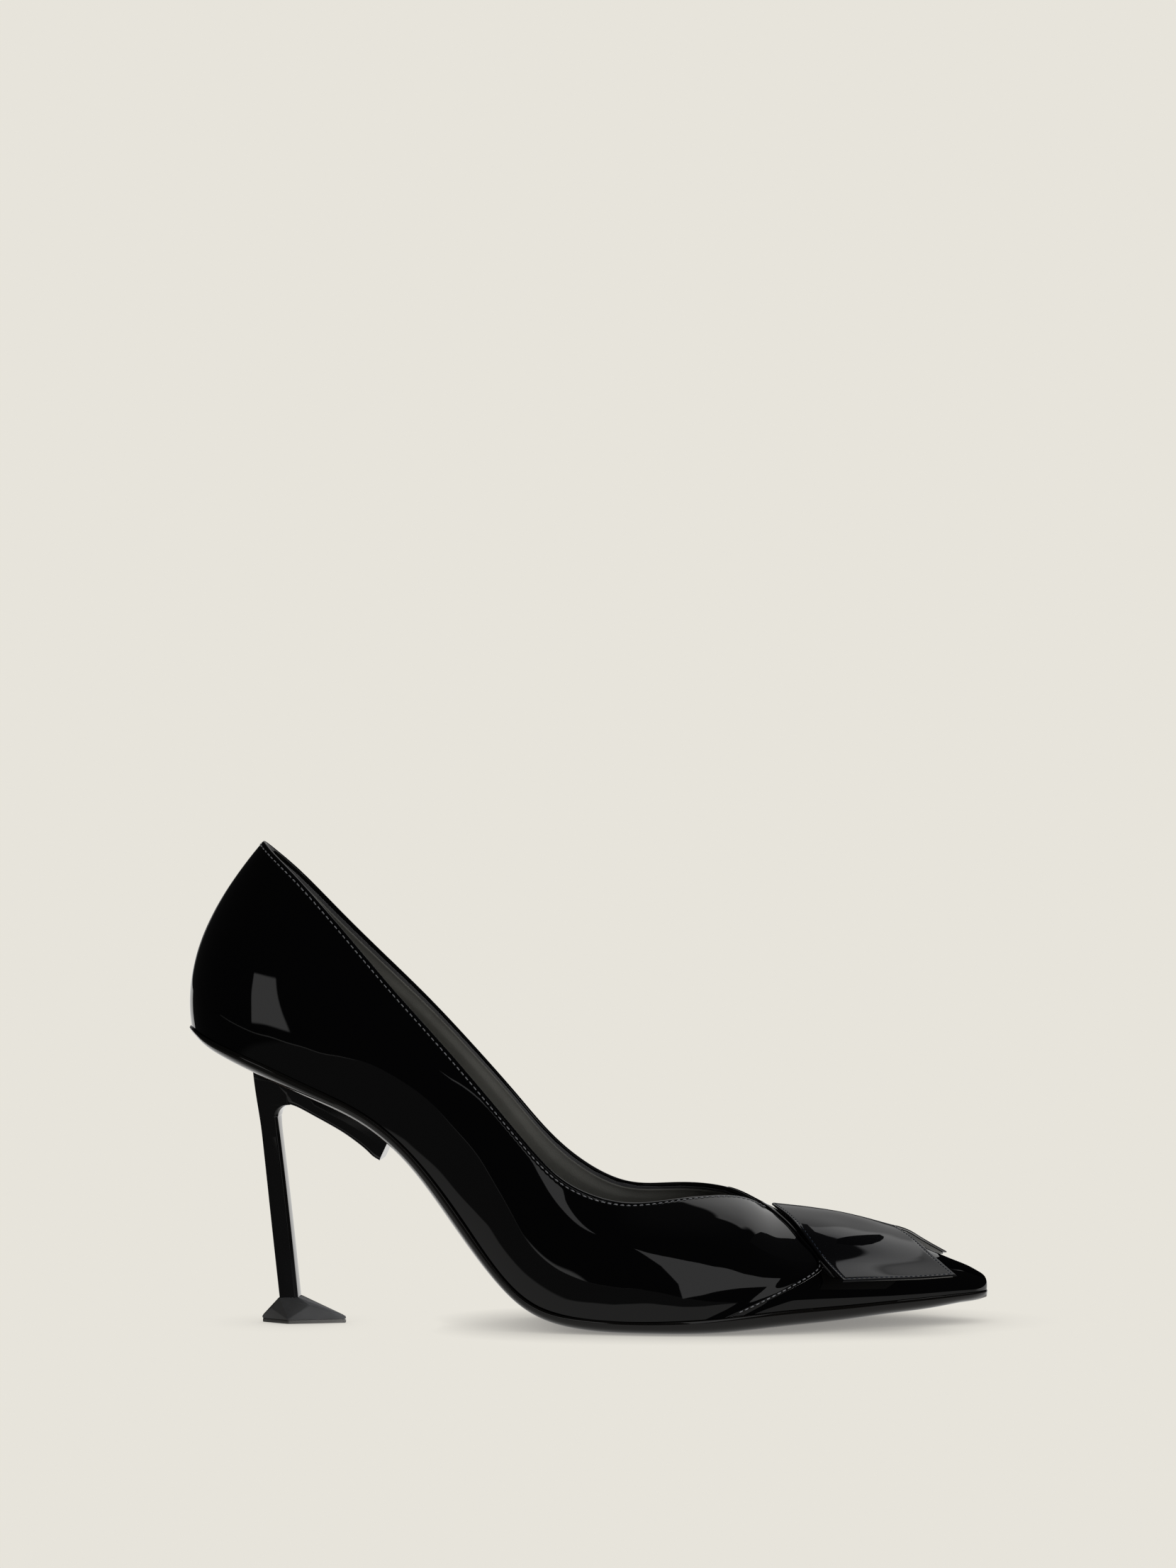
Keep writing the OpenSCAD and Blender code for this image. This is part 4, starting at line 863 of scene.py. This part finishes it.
def threads(name, C, T, Nn, length, radius, mat, stands, slot, sink=0.4):
    """short bent stitches, each dipping into the leather at both ends"""
    m = 9; k = 8; ts = np.linspace(-1, 1, m); V = []; F = []
    ang = np.linspace(0, 2 * np.pi, k, endpoint=False)
    Bn = unit(np.cross(T, Nn))
    for c, t, n, b in zip(C, T, Nn, Bn):
        base = len(V) * m * k
        rr = radius * np.sqrt(np.maximum(1 - np.abs(ts) ** 3.5, 0.02))
        cen = c + t * (ts * length / 2)[:, None] + n * (radius * 0.55 - sink * radius * 2.2 * np.abs(ts) ** 3)[:, None]
        ring = cen[:, None] + rr[:, None, None] * (np.cos(ang)[None, :, None] * b + np.sin(ang)[None, :, None] * n)
        V.append(ring.reshape(-1, 3))
        f, _ = loft_faces(m, k, base, "ngon"); F += f
    return add_mesh(name, np.concatenate(V), F, [mat], stands, slot, sharp=None)


def along(P, Nn, pitch, phase=0.0):
    L = np.concatenate([[0], np.cumsum(np.linalg.norm(np.diff(P, axis=0), axis=1))])
    at = np.arange(phase * pitch, L[-1] - 0.2 * pitch, pitch)
    f = lambda X: np.stack([np.interp(at, L, X[:, i]) for i in range(3)], 1)
    T = unit(np.gradient(P, L, axis=0))
    return f(P), unit(f(T)), unit(f(Nn))


# the topline stitches wear the lightened thread, a painted glint
for q, nm in ((0, "stitches_topline_lateral"), (1, "stitches_topline_medial")):
    uu = np.linspace(0.0006, 1, 3000); vv = 1 - TOP_IN / wall(q, uu * front(1.0))
    p, n, _, _ = frame_at(q, uu * front(vv), vv)
    C, T, N_ = along(p, n, PITCH, 0.5)
    threads(nm, C - 0.02 * N_, T, N_, 1.3, 0.17, "thread_painted_glint", None, "patent")

# the seam stitches also wear the lightened thread, a painted glint
for q, nm in ((0, "stitches_seam_lateral"), (1, "stitches_seam_medial")):
    vv = np.linspace(0.02, 0.97, 900)
    p, n, _, tu = frame_at(q, front(vv), vv)
    du = np.linalg.norm(S(q, front(vv) + 0.05, vv) - S(q, front(vv) - 0.05, vv), axis=-1) / 0.1
    p, n, _, _ = frame_at(q, front(vv) - SEAM_IN / du, vv)
    C, T, N_ = along(p + 0.29 * n, n, 1.8, 0.5)
    threads(nm, C - 0.06 * N_, T, N_, 1.25, 0.19, "thread_painted_glint", None, "patent")

for sg, nm in ((1, "stitches_band_lateral"), (-1, "stitches_band_medial")):
    C, T, N_ = [], [], []
    i = 1.05
    e = np.linspace(0, 1, 700)
    s1 = sg * (1 - i / 43.0); t0, t1 = i / 33.0, 1 - i / 33.0
    for ss_, tt_ in ((sg * e * abs(s1) , np.full(700, t0)), (np.full(700, s1), t0 + (t1 - t0) * e), (sg * e[::-1] * abs(s1), np.full(700, t1))):
        a = along(band(ss_, tt_), bandn(ss_, tt_), 1.45, 0.5)
        C.append(a[0]); T.append(a[1]); N_.append(a[2])
    C, T, N_ = map(np.concatenate, (C, T, N_))
    threads(nm, C - (0.12 if sg > 0 else 0.17) * N_, T, N_, 1.0, 0.15 if sg > 0 else 0.12, "thread" if sg > 0 else "thread_dull", None, "patent")

# ---- the inner nodes carry their own finish --------------------------------
for n, mt in (("toe_puff", "stiffener"), ("heel_counter", "stiffener"), ("interlining_lateral", "interlining"), ("interlining_medial", "interlining"),
              ("topline_tape", "tape"), ("insole_board", "board"), ("bottom_filler", "filler"), ("steel_shank", "steel"), ("shank_rivets", "brass"),
              ("lift_dowel", "steel"), ("heel_screw", "brass"), ("heel_nails", "steel")):
    o = NODES[n]; o.data.materials.clear(); o.data.materials.append(MATS[mt])
    if n in ("heel_screw", "heel_nails", "lift_dowel", "shank_rivets"):
        pass

# ---- studio ----------------------------------------------------------------
BACK = (0.80, 0.775, 0.71)
world = bpy.data.worlds.new("studio"); scene.world = world; world.use_nodes = True
N = Net(world.node_tree)
out = N.node("ShaderNodeOutputWorld"); sep = N.node("ShaderNodeSeparateXYZ")
tc = N.node("ShaderNodeTexCoord"); N.l.new(tc.outputs["Generated"], sep.inputs[0])
X, Y, Z = sep.outputs
az = N.m("DEGREES", N.m("ARCTAN2", X, Y)); el = N.m("DEGREES", N.m("ARCSINE", Z))


def patch(val, a0, a1, e0, e1, s=(1, 1, 1, 1), a=None):
    """a card seen between azimuths a0..a1 and heights e0..e1, with soft borders s in degrees"""
    a = az if a is None else a
    f = N.m("MULTIPLY", N.step(a, a0 - s[0], a0 + s[0]), N.step(a, a1 + s[1], a1 - s[1]))
    g = N.m("MULTIPLY", N.step(el, e0 - s[2], e0 + s[2]), N.step(el, e1 + s[3], e1 - s[3]))
    return N.m("MULTIPLY", N.m("MULTIPLY", f, g), val)


az2 = N.m("MODULO", N.m("ADD", az, 360.0), 360.0)      # 0..360, continuous behind the camera


def curve(x, x0, x1, y0, y1, pts):
    """a curve y(x) through given points, as a node"""
    o = N.node("ShaderNodeFloatCurve"); c = o.mapping.curves[0]
    o.mapping.use_clip = False
    P = [((a - x0) / (x1 - x0), (b - y0) / (y1 - y0)) for a, b in pts]
    c.points[0].location = P[0]; c.points[1].location = P[-1]
    for q in P[1:-1]:
        c.points.new(*q)
    for q in c.points:
        q.handle_type = "VECTOR"
    o.mapping.update()
    N.put(o.inputs["Value"], N.m("DIVIDE", N.m("SUBTRACT", x, x0), x1 - x0))
    return N.m("ADD", N.m("MULTIPLY", o.outputs[0], y1 - y0), y0)


def ramp(x, lo, hi):
    return N.step(x, lo, hi)


total = N.m("ADD", N.m("MULTIPLY", N.step(el, 45, 75), 0.02), 0.017)
# the big softbox behind, its lower edge rising to the right
low = curve(az, -180, 180, -90, 90, [(-180, 14), (-12, 14), (14, 13), (20, 14), (28, 22), (36, 30), (42, 34), (48, 37), (54, 40), (62, 44), (72, 50), (84, 54), (180, 60)])
over = N.step(N.m("SUBTRACT", el, low), -1.5, 1.5)
A_ = N.m("MULTIPLY", patch(1.0, 12.5, 83, 0, 71, (1.5, 3, 1, 2)), over)
A_ = N.m("MULTIPLY", A_, N.m("ADD", N.m("MULTIPLY", patch(1.0, 20, 62, 30, 64, (10, 14, 12, 10)), 0.2), 0.8))
cards = [
    patch(0.75, 202, 222, -2, 17, (0.6, 0.6, 0.6, 0.6), az2),          # card behind the camera, left
    A_,
    patch(0.45, -14, 14, 13, 52, (5, 1.5, 4, 6)),
    patch(0.85, -14, 14, 50, 70, (6, 1.5, 5, 2)),
    patch(0.20, -24, 7, -9, 7, (2, 3, 3, 1.5)),                        # back wall
]
for c in cards:
    total = N.m("MAXIMUM", total, c)
env = N.node("ShaderNodeCombineColor")
N.put(env.inputs[0], N.m("MULTIPLY", total, 1.0)); N.put(env.inputs[1], N.m("MULTIPLY", total, 0.995)); N.put(env.inputs[2], N.m("MULTIPLY", total, 0.985))
bg1 = N.node("ShaderNodeBackground"); N.put(bg1.inputs[0], env.outputs[0])
bg2 = N.node("ShaderNodeBackground"); bg2.inputs[0].default_value = BACK + (1,)
lp = N.node("ShaderNodeLightPath"); mx = N.node("ShaderNodeMixShader")
N.l.new(lp.outputs["Is Camera Ray"], mx.inputs[0]); N.l.new(bg1.outputs[0], mx.inputs[1]); N.l.new(bg2.outputs[0], mx.inputs[2])
N.l.new(mx.outputs[0], out.inputs[0])


def plate(name, corners, val, painted_contact_shadow=False, **vis):
    me = bpy.data.meshes.new(name); me.from_pydata(corners, [], [list(range(len(corners)))]); ob = bpy.data.objects.new(name, me)
    scene.collection.objects.link(ob)
    mt = bpy.data.materials.new(name); mt.use_nodes = True; n = Net(mt.node_tree)
    o = n.node("ShaderNodeOutputMaterial"); e = n.node("ShaderNodeEmission"); n.l.new(e.outputs[0], o.inputs[0])
    if painted_contact_shadow:
        # painted contact shadow: ambient occlusion darkens the floor's glow to 30% near the shoe
        a = n.node("ShaderNodeAmbientOcclusion", samples=16); a.inputs["Distance"].default_value = 0.024
        f = n.m("POWER", a.outputs["AO"], 0.8)
        c = n.mix(f, (val[0] * 0.30, val[1] * 0.30, val[2] * 0.31, 1), tuple(val) + (1,))
        n.put(e.inputs[0], c)
    else:
        e.inputs[0].default_value = tuple(val) + (1,)
    me.materials.append(mt)
    for k, v in vis.items():
        setattr(ob, "visible_" + k, v)
    return ob


g = 12.0
# even backdrop-coloured floor glow, with a painted contact shadow near the shoe
plate("floor", [(-g, -g, 0), (g, -g, 0), (g, g, 0), (-g, g, 0)], BACK, painted_contact_shadow=True, glossy=False, diffuse=True, shadow=False)
card = [(29, 8), (29, 29), (17, 64), (-8, 112), (18, 90), (45, 80), (72, 79), (105, 90), (130, 106), (165, 138), (142, 98), (118, 65), (70, 34), (45, 17)]
plate("near_card", [((x + 0.2) / 1000, -0.1473, z / 1000) for x, z in card], (0.72, 0.72, 0.72),
      camera=False, shadow=False, diffuse=False, transmission=False)
# what the gloss sees of the table: dim in front of the shoe, light beside and behind it
tm = plate("table_sheen", [(-3, -0.7, -0.0005), (3, -0.7, -0.0005), (3, 6, -0.0005), (-3, 6, -0.0005)], (0.3, 0.3, 0.3),
           camera=False, shadow=False, diffuse=False, transmission=False)
n = Net(tm.data.materials[0].node_tree)
o = n.node("ShaderNodeOutputMaterial"); e = n.node("ShaderNodeEmission"); n.l.new(e.outputs[0], o.inputs[0])
sp = n.node("ShaderNodeSeparateXYZ"); n.l.new(n.node("ShaderNodeTexCoord").outputs["Object"], sp.inputs[0])
tx, ty = n.m("MULTIPLY", sp.outputs[0], 1000.0), n.m("MULTIPLY", sp.outputs[1], 1000.0)
N = n
rim = curve(tx, -400, 400, -600, 200, [(-400, 400), (-260, 200), (-205, -35), (-150, -42), (-108, -45), (-99, -46), (-96, -83), (-84, -74), (-53, -62), (-21, -54), (-3, -66), (8, -92), (47, -150), (120, -330), (250, -560), (400, -600)])
front_b = n.step(n.m("SUBTRACT", ty, rim), -2.5, 2.5)
lit = n.m("ADD", n.m("MULTIPLY", n.step(ty, -20, 50), 0.62), 0.36)
val = n.m("ADD", n.m("MULTIPLY", front_b, lit), n.m("MULTIPLY", n.m("SUBTRACT", 1.0, front_b), n.m("ADD", n.m("MULTIPLY", n.step(tx, -440, -340), 0.052), 0.018)))
# its near border catches the light
val = n.m("MAXIMUM", val, n.m("MULTIPLY", n.m("MULTIPLY", n.step(ty, -655, -670), 0.42), n.step(tx, -40, -140)))
cc = n.node("ShaderNodeCombineColor")
for i, k in enumerate((1.0, 0.99, 0.965)):
    n.put(cc.inputs[i], n.m("MULTIPLY", val, k))
n.put(e.inputs[0], cc.outputs[0])


# a small black flag beside the toe keeps its ridge dark
plate("flag", [(x / 1000, 0.0155, z / 1000) for x, z in ((104, 20.5), (122, 13), (142, 20), (144, 46), (132, 52), (116, 38), (110, 27))], (0.004, 0.004, 0.004),
      camera=False, shadow=False, diffuse=False, transmission=False)
# two small dark cards just above the leather: they end the throat highlight and draw the band's dark lens
for nm, z, val, pts in (
        ("throat_card", 36, 0.035, ((54.4, -31), (54.8, -25.5), (56.2, -21.5), (58, -19.8), (60, -19), (61.9, -18), (63.6, -17.6), (63.8, -12.8), (65.6, -12.6),
                                   (66.8, -15), (68, -17.6), (69.5, -18.4), (73, -20), (75, -31))),
        ("wing_card", 30, 0.015, ((74, -21.5), (77, -19), (80.5, -16.2), (84, -13.4), (87, -11), (88.4, -11.4), (88.2, -13.2), (87.2, -15.8),
                                  (85, -19), (82, -21.4), (78.5, -22.8), (74, -23.6)))):
    plate(nm, [((x + 0.2) / 1000, (y + 2.7) / 1000, z / 1000) for x, y in pts], (val, val, val), camera=False, shadow=False, diffuse=False, transmission=False)


def lamp(name, loc, aim, size, power):
    l = bpy.data.lights.new(name, "AREA"); l.shape = "DISK"; l.size = size; l.energy = power
    o = bpy.data.objects.new(name, l); scene.collection.objects.link(o); o.location = loc
    o.rotation_euler = (Vector(aim) - Vector(loc)).to_track_quat("-Z", "Y").to_euler()
    o.visible_camera = False; o.visible_glossy = False
    return o


lamp("fill_right", (1.3, -0.9, 0.35), (-0.05, 0, 0.03), 0.5, 9.0)
key = lamp("foot_key", (-0.026, -0.016, 0.0065), (-0.082, 0, 0.005), 0.02, 1.0)
beam = bpy.data.lights.new("foot_beam", "SPOT"); beam.energy = 0.34; beam.spot_size = math.radians(30); beam.spot_blend = 0.4; beam.shadow_soft_size = 0.003
key.data = beam                                  # narrow beam: it only reaches the foot
lamp("fill_top", (0.15, -0.2, 1.7), (-0.03, 0, 0.06), 0.7, 9.0)

cam = bpy.data.cameras.new("cam"); co = bpy.data.objects.new("cam", cam); scene.collection.objects.link(co); scene.camera = co
co.location = (0.0002, -2.2 + 0.0027, 0.252)
co.rotation_euler = (Vector((0.0002, 0.0027, 0.160)) - co.location).to_track_quat("-Z", "Y").to_euler()
cam.lens = 170.6; cam.sensor_width = 36; cam.clip_start = 0.05; cam.clip_end = 40
scene.view_settings.view_transform = "Standard"; scene.view_settings.look = "None"
